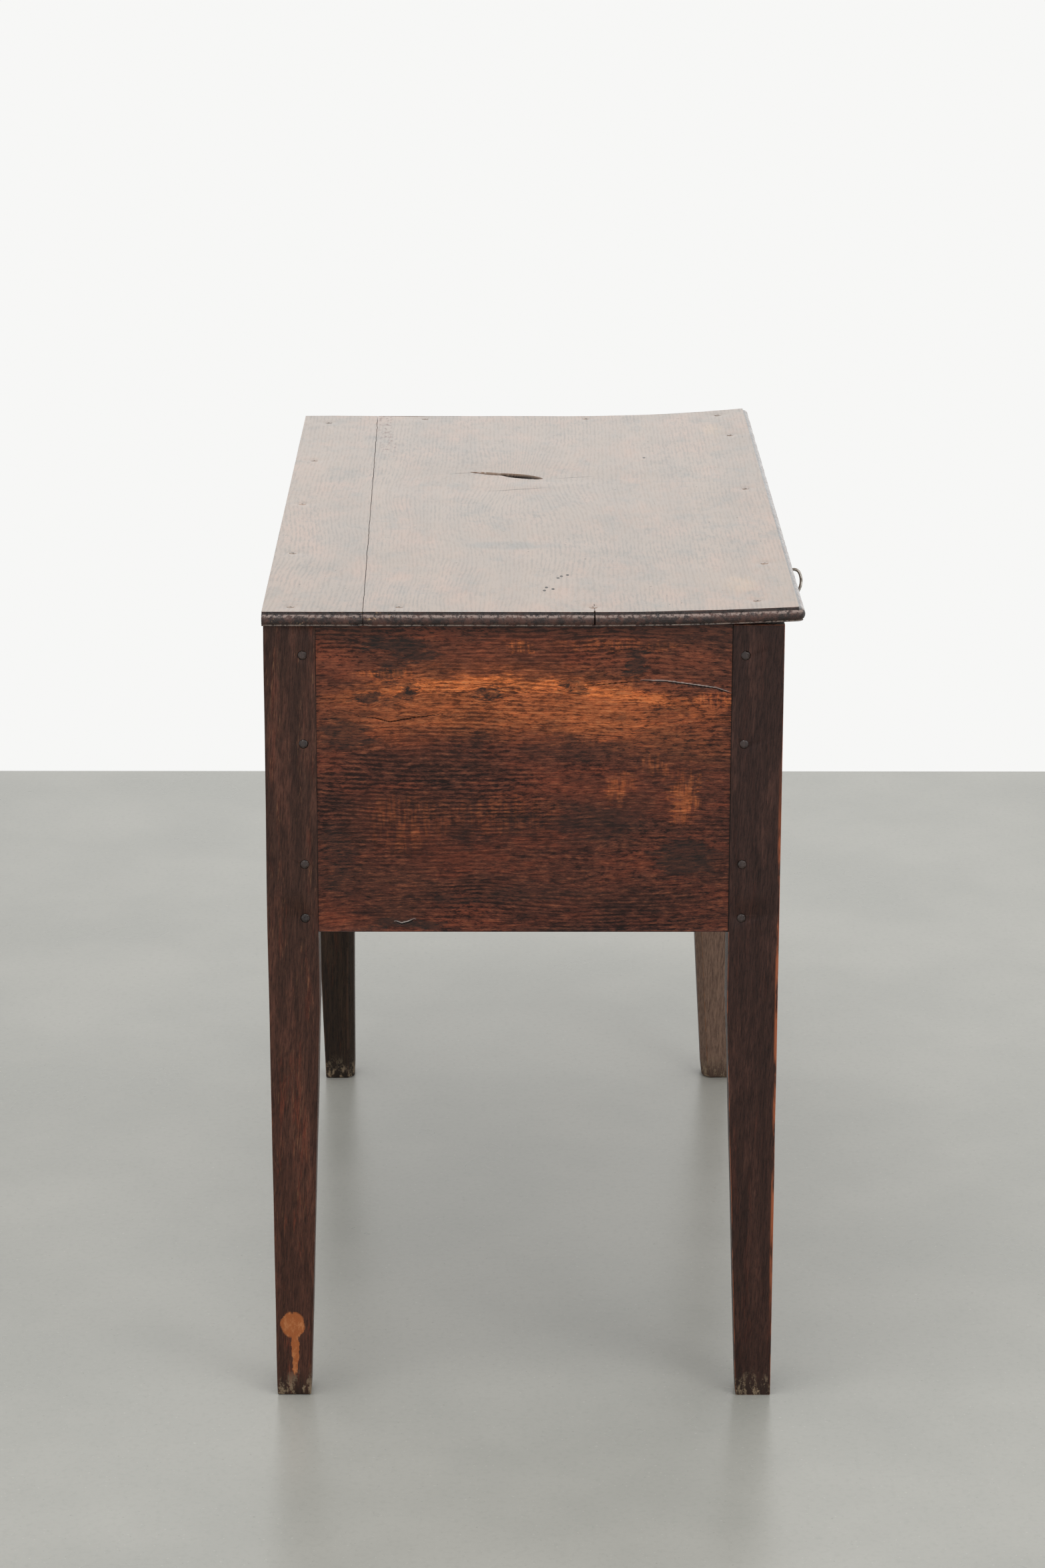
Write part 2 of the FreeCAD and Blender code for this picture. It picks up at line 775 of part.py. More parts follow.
def drawer(label, x0, x1, z0, z1, front_cuts):
    """A dovetailed drawer in the opening x0..x1, z0..z1, written out board by board."""
    left, right = x0 + side_gap, x1 - side_gap
    low, high = z0 + slide_gap, z1 - top_gap
    inner_left, inner_right = left + drawer_side_thickness, right - drawer_side_thickness
    face_y, rear_y, end_y = rail_front_y, drawer_rear_y, drawer_end_y
    back_y0 = end_y - drawer_back_thickness
    bottom_low = low + bottom_raise
    bottom_high = bottom_low + drawer_bottom_thickness
    side_high, back_high = high - side_drop, high - back_drop
    tongue = groove_depth - joint_gap
    sides = {"left": (left, inner_left), "right": (inner_right, right)}

    front_tails, back_tails = {}, {}
    for name, (a, b) in sides.items():
        front_tails[name] = dovetails(a, b, rear_y, rear_y - lap, low, side_high)
        back_tails[name] = dovetails(a, b, back_y0, end_y, bottom_high, back_high)

    rebate = block(left, right, face_y, face_y + bead_depth, low, high).cut(
        block(left + bead_thickness, right - bead_thickness, face_y, face_y + bead_depth,
              low + bead_thickness, high - bead_thickness))
    front_groove = block(inner_left, inner_right, rear_y - groove_depth, rear_y,
                         bottom_low - groove_gap, bottom_high + groove_gap)
    front = block(left, right, face_y, rear_y, low, high)
    sockets = front_tails["left"] + front_tails["right"]
    save(label + "_front", [cut(front, [rebate, front_groove] + sockets + front_cuts)])

    for name, (a, b) in sides.items():
        body = block(a, b, rear_y, back_y0, low, side_high)
        inner = inner_left if name == "left" else inner_right
        outward = -1 if name == "left" else 1
        groove = block(inner, inner + outward * groove_depth, rear_y, back_y0,
                       bottom_low - groove_gap, bottom_high + groove_gap)
        board = cut(fused(body, front_tails[name] + back_tails[name]), [groove])
        save(label + "_side_" + name, [board])

    back = block(left, right, back_y0, end_y, bottom_high, back_high)
    save(label + "_back", [cut(back, back_tails["left"] + back_tails["right"])])

    panel = block(inner_left - tongue, inner_right + tongue, rear_y, end_y,
                  bottom_low, bottom_high)
    lip = block(inner_left, inner_right, rear_y - tongue, rear_y, bottom_low, bottom_high)
    save(label + "_bottom", [fused(panel, [lip])])
    save(label + "_beads", bead_frame(left, right, low, high))


# ---------------------------------------------------------------- lock and key
lock_front_y = drawer_rear_y - lock_plate - lock_recess
bolt_front_y = drawer_rear_y - lock_plate - bolt_gap - bolt_thickness
lock_low_z = key_z - lock_below
selvedge_low_z = long_front_top - lock_plate


def keyhole(y0, y1):
    """A round hole with a slot below it, for the shank and the bit of the key."""
    radius = key_shank / 2 + keyhole_gap
    slot = key_bit_thickness / 2 + keyhole_gap
    depth = key_bit_reach + keyhole_gap
    hole = rod(Vector(0, y0, key_z), Vector(0, 1, 0), y1 - y0, 2 * radius)
    return hole.fuse(block(-slot, slot, y0, y1, key_z, key_z - depth))


def lock_screw_places():
    x = lock_width / 2 + lock_plate_margin / 2
    heights = (lock_low_z + lock_plate_margin / 2, selvedge_low_z - lock_plate_margin / 2)
    return [Vector(side * x, drawer_rear_y, z) for side in (-1, 1) for z in heights]


def lock_cuts():
    """What the lock takes out of the long drawer's front."""
    half = lock_width / 2
    plate_half = half + lock_plate_margin
    body = block(-half, half, lock_front_y, drawer_rear_y, lock_low_z, long_front_top)
    plate = block(-plate_half, plate_half, drawer_rear_y - lock_plate, drawer_rear_y,
                  lock_low_z, long_front_top)
    selvedge = block(-plate_half, plate_half, lock_front_y, drawer_rear_y, selvedge_low_z,
                     long_front_top)
    screws = [peg_hole(place, Vector(0, -1, 0), screw_length, screw_diameter)
              for place in lock_screw_places()]
    return [body, plate, selvedge, keyhole(rail_front_y, lock_front_y)] + screws


def lock_case():
    """An iron box let into the drawer front, with a plate, a top plate and the key's pin."""
    half = lock_width / 2
    plate_half = half + lock_plate_margin
    plate_y = drawer_rear_y - lock_plate
    plate = block(-plate_half, plate_half, plate_y, drawer_rear_y, lock_low_z, long_front_top)
    selvedge = block(-plate_half, plate_half, lock_front_y, drawer_rear_y, selvedge_low_z,
                     long_front_top)
    walls = block(-half, half, lock_front_y, plate_y, lock_low_z, selvedge_low_z).cut(
        block(-half + lock_wall, half - lock_wall, lock_front_y, plate_y,
              lock_low_z + lock_wall, selvedge_low_z))
    pin = rod(Vector(0, plate_y, key_z), Vector(0, -1, 0), lock_recess, key_pin)
    slot_half = bolt_width / 2 + bolt_gap
    slot = block(-slot_half, slot_half, bolt_front_y - bolt_gap, plate_y,
                 selvedge_low_z, long_front_top)
    holes = [peg_hole(place, Vector(0, -1, 0), screw_length, screw_diameter)
             for place in lock_screw_places()]
    return cut(fused(plate, [selvedge, walls, pin]), [slot] + holes)


def lock_screws():
    screws = []
    for place in lock_screw_places():
        shank = rod(place, Vector(0, -1, 0), screw_length, screw_diameter)
        head = rod(place, Vector(0, 1, 0), screw_head_height, screw_head)
        screws.append(shank.fuse(head))
    return screws


def lock_bolt():
    """A plate with a window that the key's bit turns in; the bit lifts its upper edge."""
    half = bolt_width / 2
    top = long_front_top - bolt_gap
    low = lock_low_z + lock_wall + bolt_gap
    y0, y1 = bolt_front_y, bolt_front_y + bolt_thickness
    plate = block(-half, half, y0, y1, low, top)
    window = block(-half + bolt_web, half - bolt_web, y0, y1, low + bolt_web, key_z + bolt_talon)
    return plate.cut(window)


def bow_oval():
    """The oval that the bow's wire follows: tight quarters at its tips, wide ones at its sides.
    Gives how far out the tip hubs and side hubs are, the side radius and its half turn."""
    wire_half = key_wire / 2
    tip_out = key_bow_across / 2 - wire_half - key_bow_tip_radius
    side_in = key_bow_along / 2 - wire_half - key_bow_tip_radius
    hub_out = (tip_out ** 2 - side_in ** 2) / (2 * side_in)
    side_radius = hub_out + side_in + key_bow_tip_radius
    return tip_out, hub_out, side_radius, math.degrees(math.atan2(tip_out, hub_out))


def ring_arc(hub, axis, middle, radius, half_turn):
    """Part of a wire ring about a hub, half a turn each way from its middle direction."""
    start = FreeCAD.Rotation(axis, -half_turn).multVec(middle)
    circle = Part.makeCircle(key_wire / 2, hub + start * radius, axis.cross(start))
    return Part.Face(Part.Wire(circle)).revolve(hub, axis, 2 * half_turn)


def key_bow(centre, toward, across):
    tip_out, hub_out, side_radius, half_turn = bow_oval()
    axis = toward.cross(across)
    quarters = []
    for sign in (-1, 1):
        hub = centre - toward * (sign * hub_out)
        quarters.append(ring_arc(hub, axis, toward * sign, side_radius, half_turn))
        tip = centre + across * (sign * tip_out)
        quarters.append(ring_arc(tip, axis, across * sign, key_bow_tip_radius, 90 - half_turn))
    return fused(quarters[0], quarters[1:])


def key():
    """A pipe key: oval bow, collar, hollow shank and bit. It droops a little at the bow."""
    tip_y = drawer_rear_y - lock_plate - bolt_gap
    droop = math.radians(key_droop)
    bow_out = key_bow_along / 2
    tip_out, hub_out, side_radius, half_turn = bow_oval()
    bow_reach = side_radius - hub_out * math.cos(droop) + key_wire / 2
    bend_y = front_y - key_reach + bow_reach + bow_out * math.cos(droop)
    bend = Vector(0, bend_y, key_z)
    toward = Vector(0, -math.cos(droop), -math.sin(droop))
    across = Vector(0, -math.sin(droop), math.cos(droop))
    shank = rod(Vector(0, tip_y, key_z), Vector(0, -1, 0), tip_y - bend_y, key_shank)
    neck_length = key_wire * (key_neck_share + 0.5)
    neck = rod(bend - toward * key_wire / 2, toward, neck_length, key_shank)
    collar = rod(Vector(0, bend_y + key_collar_width * 2, key_z), Vector(0, -1, 0),
                 key_collar_width, key_collar)
    bore = rod(Vector(0, tip_y + overlap, key_z), Vector(0, -1, 0),
               lock_recess + overlap + bolt_gap, key_bore)
    bit = block(-key_bit_thickness / 2, key_bit_thickness / 2, tip_y - key_bit_width, tip_y,
                key_z, key_z - key_bit_reach)
    bow = key_bow(bend + toward * bow_out, toward, across)
    return fused(shank.fuse([neck, collar, bit]).cut(bore), [bow])


def escutcheon():
    """A plain oval plate round the keyhole."""
    y = rail_front_y - escutcheon_thickness
    centre = Vector(0, y, key_z - key_bit_reach / 4)
    rim = Part.Ellipse(centre + Vector(0, 0, escutcheon_height / 2),
                       centre + Vector(escutcheon_width / 2, 0, 0), centre).toShape()
    plate = Part.Face(Part.Wire(rim)).extrude(Vector(0, escutcheon_thickness, 0))
    return plate.cut(keyhole(y, rail_front_y))


# ---------------------------------------------------------------- ring pulls
eye_radius = (eye_hole + eye_wire) / 2
eye_y = rail_front_y - rosette_thickness - eye_stand - eye_radius - eye_wire / 2


def rosette(side):
    plate = rod(Vector(side * pull_x, rail_front_y, pull_z), Vector(0, -1, 0),
                rosette_thickness, rosette_diameter)
    rim = [edge for edge in plate.Edges if len(edge.Vertexes) == 1
           and abs(edge.CenterOfMass.y - (rail_front_y - rosette_thickness)) < 0.01]
    plate = plate.makeChamfer(rosette_thickness / 2, rim)
    return plate.cut(staple_hole(side))


def staple_hole(side):
    start = Vector(side * pull_x, rail_front_y - rosette_thickness, pull_z)
    return rod(start, Vector(0, 1, 0), rosette_thickness + drawer_front_thickness,
               staple_shank + 2 * staple_gap)


def staple(side):
    """An iron eye whose shank goes through the drawer front and is clenched inside."""
    x = side * pull_x
    eye = Part.makeTorus(eye_radius, eye_wire / 2, Vector(x, eye_y, pull_z), Vector(1, 0, 0))
    worn = rod(Vector(x - eye_wire, eye_y, pull_z), Vector(1, 0, 0), 2 * eye_wire,
               eye_hole + eye_wear)
    shank_start = eye_y + eye_radius
    shank = rod(Vector(x, shank_start, pull_z), Vector(0, 1, 0),
                drawer_rear_y - shank_start + staple_shank / 2, staple_shank)
    clench = block(x - staple_clench / 2, x + staple_clench / 2, drawer_rear_y,
                   drawer_rear_y + staple_shank, pull_z - staple_shank / 2,
                   pull_z + staple_shank / 2)
    return shank.fuse([eye, clench]).cut(worn).removeSplitter()


def ring(side):
    radius = ring_diameter / 2
    centre = Vector(side * pull_x, eye_y, pull_z - radius)
    return Part.makeTorus(radius, ring_wire / 2, centre, Vector(0, 1, 0))


# ---------------------------------------------------------------- all sub-parts
os.makedirs("parts", exist_ok=True)
sides = {"left": -1, "right": 1}

for side_name, side in sides.items():
    save("leg_front_" + side_name, [leg(side, -1)])
    save("leg_back_" + side_name, [leg(side, 1)])
    save("side_board_" + side_name, [side_board(side)])
    save("bottom_rail_" + side_name, [bottom_rail(side)])
    save("upright_" + side_name, [upright(side)])
    save("kneehole_cheek_" + side_name, [kneehole_cheek(side)])
    save("long_runner_" + side_name,
         [rebated_runner(side, middle_rail_top, long_runner_tongue(side))])
    save("outer_runner_" + side_name,
         [rebated_runner(side, bottom_rail_top, small_runner_tongue(side, True))])
    save("inner_runner_" + side_name, [inner_runner(side)])
    save("kicker_" + side_name, [kicker(side)])

for board_name, levels in zip(("lower", "upper"), back_board_levels()):
    save("back_board_" + board_name, [back_board(*levels)])

save("top_board_wide", [wide_top_board()])
save("top_board_narrow", [narrow_top_board()])
save("top_rail", [top_rail()])
save("middle_rail", [middle_rail()])
save("kneehole_apron", [kneehole_apron()])
save("drawer_stops", drawer_stops())
save("back_nails", back_nails())
save("top_pegs", [peg(start, Vector(0, 0, -1), top_peg_length) for start in top_peg_starts()])

frame_pegs = []
for side in sides.values():
    frame_pegs += [peg(start, Vector(-side, 0, 0), side_peg_length) for row in (-1, 1)
                   for start in side_peg_starts(side, row)]
    frame_pegs += [peg(start, Vector(0, 1, 0), rail_peg_length)
                   for start in rail_peg_starts(side)]
    frame_pegs += [peg(start, Vector(0, -1, 0), side_peg_length)
                   for start in back_peg_starts(side)]
save("frame_pegs", frame_pegs)

drawer("long_drawer", -leg_inner_x, leg_inner_x, middle_rail_top, top_rail_low, lock_cuts())
save("lock_case", [lock_case()])
save("lock_screws", lock_screws())
save("lock_bolt", [lock_bolt()])
save("escutcheon", [escutcheon()])
save("key", [key()])

for side_name, side in sides.items():
    opening = sorted((side * leg_inner_x, side * upright_outer_x))
    drawer(side_name + "_drawer", opening[0], opening[1], bottom_rail_top, middle_rail_low,
           [staple_hole(side)])
    save(side_name + "_rosette", [rosette(side)])
    save(side_name + "_staple", [staple(side)])
    save(side_name + "_ring", [ring(side)])
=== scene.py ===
"""An old oak side table with drawers (a lowboy), dressed around its packed construction.

Metres, +Z up, floor at z = 0. X runs along the length and the front faces -Y.
"""
import math

import bpy
import numpy as np
from mathutils import Matrix, Vector, noise


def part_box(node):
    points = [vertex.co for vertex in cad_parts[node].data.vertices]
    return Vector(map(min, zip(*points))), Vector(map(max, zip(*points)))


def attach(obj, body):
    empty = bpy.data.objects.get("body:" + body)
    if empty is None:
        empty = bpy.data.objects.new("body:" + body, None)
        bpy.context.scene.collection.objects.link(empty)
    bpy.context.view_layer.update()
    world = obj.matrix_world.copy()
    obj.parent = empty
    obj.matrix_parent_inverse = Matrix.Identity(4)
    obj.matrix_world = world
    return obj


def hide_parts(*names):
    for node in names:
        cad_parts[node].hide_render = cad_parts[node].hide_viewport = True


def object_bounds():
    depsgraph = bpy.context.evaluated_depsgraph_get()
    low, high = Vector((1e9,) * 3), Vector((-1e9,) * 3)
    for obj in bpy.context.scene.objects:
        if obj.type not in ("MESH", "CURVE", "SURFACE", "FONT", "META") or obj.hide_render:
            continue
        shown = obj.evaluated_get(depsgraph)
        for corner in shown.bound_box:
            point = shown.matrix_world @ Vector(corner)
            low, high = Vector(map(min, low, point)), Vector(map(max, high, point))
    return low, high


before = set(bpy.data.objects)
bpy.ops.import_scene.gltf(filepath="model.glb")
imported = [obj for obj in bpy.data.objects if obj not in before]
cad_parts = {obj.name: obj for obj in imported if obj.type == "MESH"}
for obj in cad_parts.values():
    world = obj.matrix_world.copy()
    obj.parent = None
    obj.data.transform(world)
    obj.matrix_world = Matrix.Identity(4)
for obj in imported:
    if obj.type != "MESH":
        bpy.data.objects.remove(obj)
built_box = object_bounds()

MM = 0.001
# How near a corner or a face has to be to count as on a line or a plane: strictly and loosely
HAIR = 0.02 * MM
NEAR = 0.1 * MM
# A face looks along an axis when its normal has this much of it
FACING = 0.9

# Top boards: a raised field inside a step and a round nose
TOP_LOW, TOP_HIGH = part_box("top_board_wide")
NARROW_LOW, NARROW_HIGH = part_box("top_board_narrow")
UNDERSIDE = TOP_LOW.z
FIELD_TOP = NARROW_HIGH.z
NOSE_RADIUS = 5.0 * MM
NOSE_DEGREES = (75, 58, 40, 22, 5, -12, -28, -43, -56)
STEP_INSET = 5.5 * MM
STEP_ROUND = 0.4 * MM
STEP_LEAN = 0.1 * MM
FIELD_ROUND = 0.35 * MM
CORNER = 1.5 * MM
FILLET = 0.8 * MM
FILLET_PROUD = 0.5 * MM

# The joint of the two boards: its gap, its waviness, and how its ends are broken back
BOARD_GAP = 0.5 * MM
JOINT_WAVE = 0.45 * MM
JOINT_CELLS = ((26.0, 3.0, 7.0), (90.0, 1.0, 5.0))
JOINT_NOTCH = 2.0 * MM
JOINT_NOTCH_WIDTH = 2.5 * MM

# The moulding is nibbled where it stands out this far, and a band along its nose is painted pale as a
# highlight
NIBBLE = 0.45 * MM
NIBBLED_FROM = 1 * MM
NIBBLE_CELLS = (160.0, 55.0)
NIBBLE_MOST = 1.2
HIGHLIGHT_DEGREES = 49
HIGHLIGHT_WIDTH = 1.3 * MM
# The groove over the nose, painted near black as the shade in it, from its step
GROOVE_BELOW = 0.3 * MM
GROOVE_ABOVE = 0.6 * MM

# How far the front of the wide board has curled up at its left and right ends
CUP_START = -31.0 * MM
CUP_RUN = 185.0 * MM
CUP_LEFT = 5.0 * MM
CUP_RIGHT = 9.0 * MM

# How finely the faces of the boards are divided
TOP_CELL = 5.0 * MM
SIDE_CELL = 6.0 * MM

# Peg heads in the top: how proud the pegs stand, how much of that is left, how far down a head
# goes, and the mark in its middle
PEG_PROUD = 0.8 * MM
PEG_LOWERED = 0.45
PEG_HEAD = 0.5 * MM
PEG_MARK_INSET = 2.3 * MM
PEG_MARK_DEPTH = 0.4 * MM
# Corners this near are one peg's, and the face round a peg is divided finely and sinks a little
PEG_SPREAD = 9.0 * MM
PEG_REACH = 6.0 * MM
PEG_SURROUND = 14.0 * MM
PEG_DENT = 0.35 * MM
PEG_DENT_REACH = 8.0 * MM
# Peg heads in the frame are rounded by two insets, each raised by its own height
HEAD_FROM_END = 20 * MM
HEAD_INSET = 0.9 * MM
HEAD_RISES = (0.15 * MM, 0.08 * MM)

# The lost knot in the wide board: its two ends, half width and depth, and its shallow tail
KNOT_BACK = Vector((144.0, 45.0)) * MM
KNOT_FRONT = Vector((121.0, 2.0)) * MM
KNOT_HALF_WIDTH = 8.5 * MM
KNOT_DEPTH = 6.5 * MM
KNOT_STEEPNESS = 2.6
KNOT_TAIL = Vector((150.0, 71.0)) * MM
KNOT_TAIL_JOINS = 0.3
KNOT_TAIL_HALF_WIDTH = 5.0 * MM
KNOT_TAIL_DEPTH = 2.2 * MM
# The face divided finely round the knot: its middle and radius
KNOT_AREA = Vector((137.0, 28.0)) * MM
KNOT_AREA_RADIUS = 42.0 * MM

# The waves of the top's face: their height, cells to the metre along and across, and layer
FACE_SUNK = 0.3 * MM
FACE_WAVES = ((0.60 * MM, 7.0, 11.0, 2.0), (0.16 * MM, 22.0, 45.0, 5.0))
# Beside the knot it dips and then rises: (x, y), reach along and across, height, all in mm
KNOT_WAVES = (((118.0, 30.0), (64.3, 70.0), -1.3), ((88.0, 20.0), (20.0, 50.0), 0.5))

# The split that runs in from the left end of the top, deepest at the end of the board. Only
# corners this near its line and this near the face sink
SPLIT_Y = -37.5 * MM
SPLIT_END_X = -404.0 * MM
SPLIT_HALF_WIDTH = 0.95 * MM
SPLIT_AREA = 9 * MM
SPLIT_SHALLOW = 0.5 * MM
SPLIT_DEEPENS = 3.0 * MM
SPLIT_IN_NOSE = 4.0 * MM
SPLIT_LINE = 0.05 * MM
SPLIT_FACE = 1.5 * MM

# Worm holes in the top, (x, y) in mm
WORM_HOLES = ((-297.0, -16.5), (-302.0, -11.0), (-309.0, -8.0), (-346.0, 2.5), (-352.0, -3.0),
              (-357.0, 4.5), (213.0, -100.5))
WORM_HOLE_RADII = (1.8, 4.0)

# Fine cracks beside the knot, in mm: (y, x + CRACK_SLANT y) of the middle, then half length
# and half width
CRACK_SLANT = 0.274
CRACKED_LINES = (((26.0, 75.5), (36.0, 1.6)), ((78.0, 166.5), (14.0, 1.4)),
                 ((-30.0, 118.0), (24.0, 1.2)))

# Arrises worn round by use, edges too short for that, and the short edges of a peg's socket
LEG_ARRIS = 1.3 * MM
BOARD_ARRIS = 0.8 * MM
DRAWER_ARRIS = 0.5 * MM
METAL_ARRIS = 0.3 * MM
SHORTEST_ARRIS = 9.0 * MM
SOCKET_EDGE = 2 * MM
SOCKET_RING = 0.35 * MM
SHARP_DEGREES = 35

# Boards and legs planed by hand: how far their faces wander, and waves to the metre
SIDE_SUNK = 0.25 * MM
SIDE_WAVES_ALONG = 9.0
SIDE_WAVES_UP = 26.0
LEG_WANDER = 0.35 * MM
LEG_CELLS = 14.0
LEG_CUTS = 20.0 * MM
# The foot: where it is cut across, as shares of its round, and how much of that it is drawn in
FOOT_CUTS = (0.07, 0.25, 0.55)
FOOT_DRAWN_IN = 0.8

# Each leg: its seed, how far its foot is rounded, its colours at the top, towards the foot and
# where it is worn, and how strong its pale streaks and its rust-red patches are
LEGS = {("front", "left"): (26, 2.0 * MM, (0.053, 0.024, 0.018), (0.070, 0.031, 0.022),
                            (0.42, 0.12, 0.05), 0.05, 0.30),
        ("back", "left"): (25, 3.0 * MM, (0.074, 0.032, 0.021), (0.104, 0.041, 0.026),
                           (0.34, 0.17, 0.085), 0.40, 0.9),
        ("front", "right"): (39, 6.0 * MM, (0.060, 0.029, 0.021), (0.085, 0.038, 0.026),
                             (0.22, 0.10, 0.05), 0.15, 0.2),
        # The back right leg's colours are darkened as painted shade, for the shade under the table where
        # it stands
        ("back", "right"): (38, 3.0 * MM, (0.030, 0.018, 0.012), (0.042, 0.024, 0.014),
                            (0.060, 0.032, 0.020), 0.2, 0.8)}
# The inner face of a leg, paler where the polish has gone and also painted lighter as light falling on
# it: paler at the top than at the foot
PALE_AND_LIT_INNER_LEG = {("front", "right"): ((0.36, 0.21, 0.14), (0.27, 0.17, 0.12))}
SIDE_SEEDS = {"left": 21, "right": 34}


# ---------------------------------------------------------------- shader nodes
def operator(operation, swapped=False):
    """One sum that a Value can take part in."""
    def work_out(one, other):
        terms = (other, one) if swapped else (one, other)
        return one.maths(operation, *terms)
    return work_out


class Value:
    """What a shader node gives out. Sums written on it add the nodes that do them."""

    def __init__(self, finish, socket):
        self.finish = finish
        self.socket = socket

    def maths(self, operation, *terms):
        return self.finish.node("ShaderNodeMath", {"operation": operation},
                                dict(enumerate(terms)))

    __add__ = operator("ADD")
    __radd__ = operator("ADD", swapped=True)
    __sub__ = operator("SUBTRACT")
    __rsub__ = operator("SUBTRACT", swapped=True)
    __mul__ = operator("MULTIPLY")
    __rmul__ = operator("MULTIPLY", swapped=True)
    __truediv__ = operator("DIVIDE")
    __pow__ = operator("POWER")
    larger = operator("MAXIMUM")
    smaller = operator("MINIMUM")

    def size(self):
        return self.maths("ABSOLUTE", self)

    def sine(self):
        return self.maths("SINE", self)


class Finish:
    """The shader nodes of a material, or of the studio's surroundings."""

    def __init__(self, owner):
        owner.use_nodes = True
        self.owner = owner
        self.tree = owner.node_tree
        self.tree.nodes.clear()

    def node(self, kind, settings=None, sockets=None, out=0):
        """Adds a node: its settings first, then the values or links of its sockets."""
        made = self.tree.nodes.new(kind)
        for name, value in (settings or {}).items():
            setattr(made, name, value)
        for key, value in (sockets or {}).items():
            if isinstance(value, Value):
                self.tree.links.new(value.socket, made.inputs[key])
            else:
                made.inputs[key].default_value = value
        if isinstance(out, tuple):
            return [Value(self, made.outputs[index]) for index in out]
        return Value(self, made.outputs[out])

    def place(self):
        """Where a spot is on the table, whichever piece it is on."""
        return self.node("ShaderNodeTexCoord", out=3)

    def parts(self, vector):
        return self.node("ShaderNodeSeparateXYZ", sockets={0: vector}, out=(0, 1, 2))

    def vector(self, x, y, z):
        return self.node("ShaderNodeCombineXYZ", sockets={0: x, 1: y, 2: z})

    def stretched(self, vector, scales, shift=(0.0, 0.0, 0.0)):
        return self.node("ShaderNodeVectorMath", {"operation": "MULTIPLY_ADD"},
                         {0: vector, 1: scales, 2: shift})

    def noise(self, vector, scales, detail=1.0, roughness=0.5, shift=(0.0, 0.0, 0.0)):
        """Noise from 0 to 1, with that many cells to the metre along each axis."""
        return self.node("ShaderNodeTexNoise", {"noise_dimensions": "3D"},
                         {"Vector": self.stretched(vector, scales, shift), "Scale": 1.0,
                          "Detail": detail, "Roughness": roughness})

    def fade(self, value, start, end, low=0.0, high=1.0):
        """Goes smoothly from low to high as the value goes from start to end."""
        return self.node("ShaderNodeMapRange", {"interpolation_type": "SMOOTHSTEP"},
                         {0: value, 1: start, 2: end, 3: low, 4: high})

    def mix(self, mask, under, over, blend="MIX"):
        return self.node("ShaderNodeMix", {"data_type": "RGBA", "blend_type": blend},
                         {0: mask, 6: colour(under), 7: colour(over)}, out=2)

    def attribute(self, name):
        """A number that was marked on the piece."""
        return self.node("ShaderNodeAttribute", {"attribute_name": name}, out=2)

    def bump(self, height, distance, strength=1.0, normal=None):
        sockets = {"Height": height, "Distance": distance, "Strength": strength}
        if normal:
            sockets["Normal"] = normal
        return self.node("ShaderNodeBump", sockets=sockets)

    def surface(self, sockets):
        """Ends the nodes in one surface, and gives the finished material."""
        shader = self.node("ShaderNodeBsdfPrincipled", sockets=sockets)
        self.node("ShaderNodeOutputMaterial", sockets={"Surface": shader}, out=())
        return self.owner


def colour(value):
    return value if isinstance(value, Value) else (*value, 1.0)


# ---------------------------------------------------------------- oak finishes
# How far a seed moves the figure along each axis, and how far the grain wanders from straight
SEED_STEPS = (1.7, 2.3, 3.1)
GRAIN_WANDER = 30.0 * MM
PORE_DEPTH = 0.25 * MM
PLANING_DEPTH = 0.35 * MM
SAWN_DEPTH = 0.5 * MM

# The tint of the fine fibres, which multiplies the wood's, and the black of cracks, also painted round
# each peg's socket as the shade in its gap
FIBRE_SHADE = (0.52, 0.50, 0.52)
SPLIT_AND_SOCKET_SHADE_BLACK = (0.008, 0.006, 0.005)


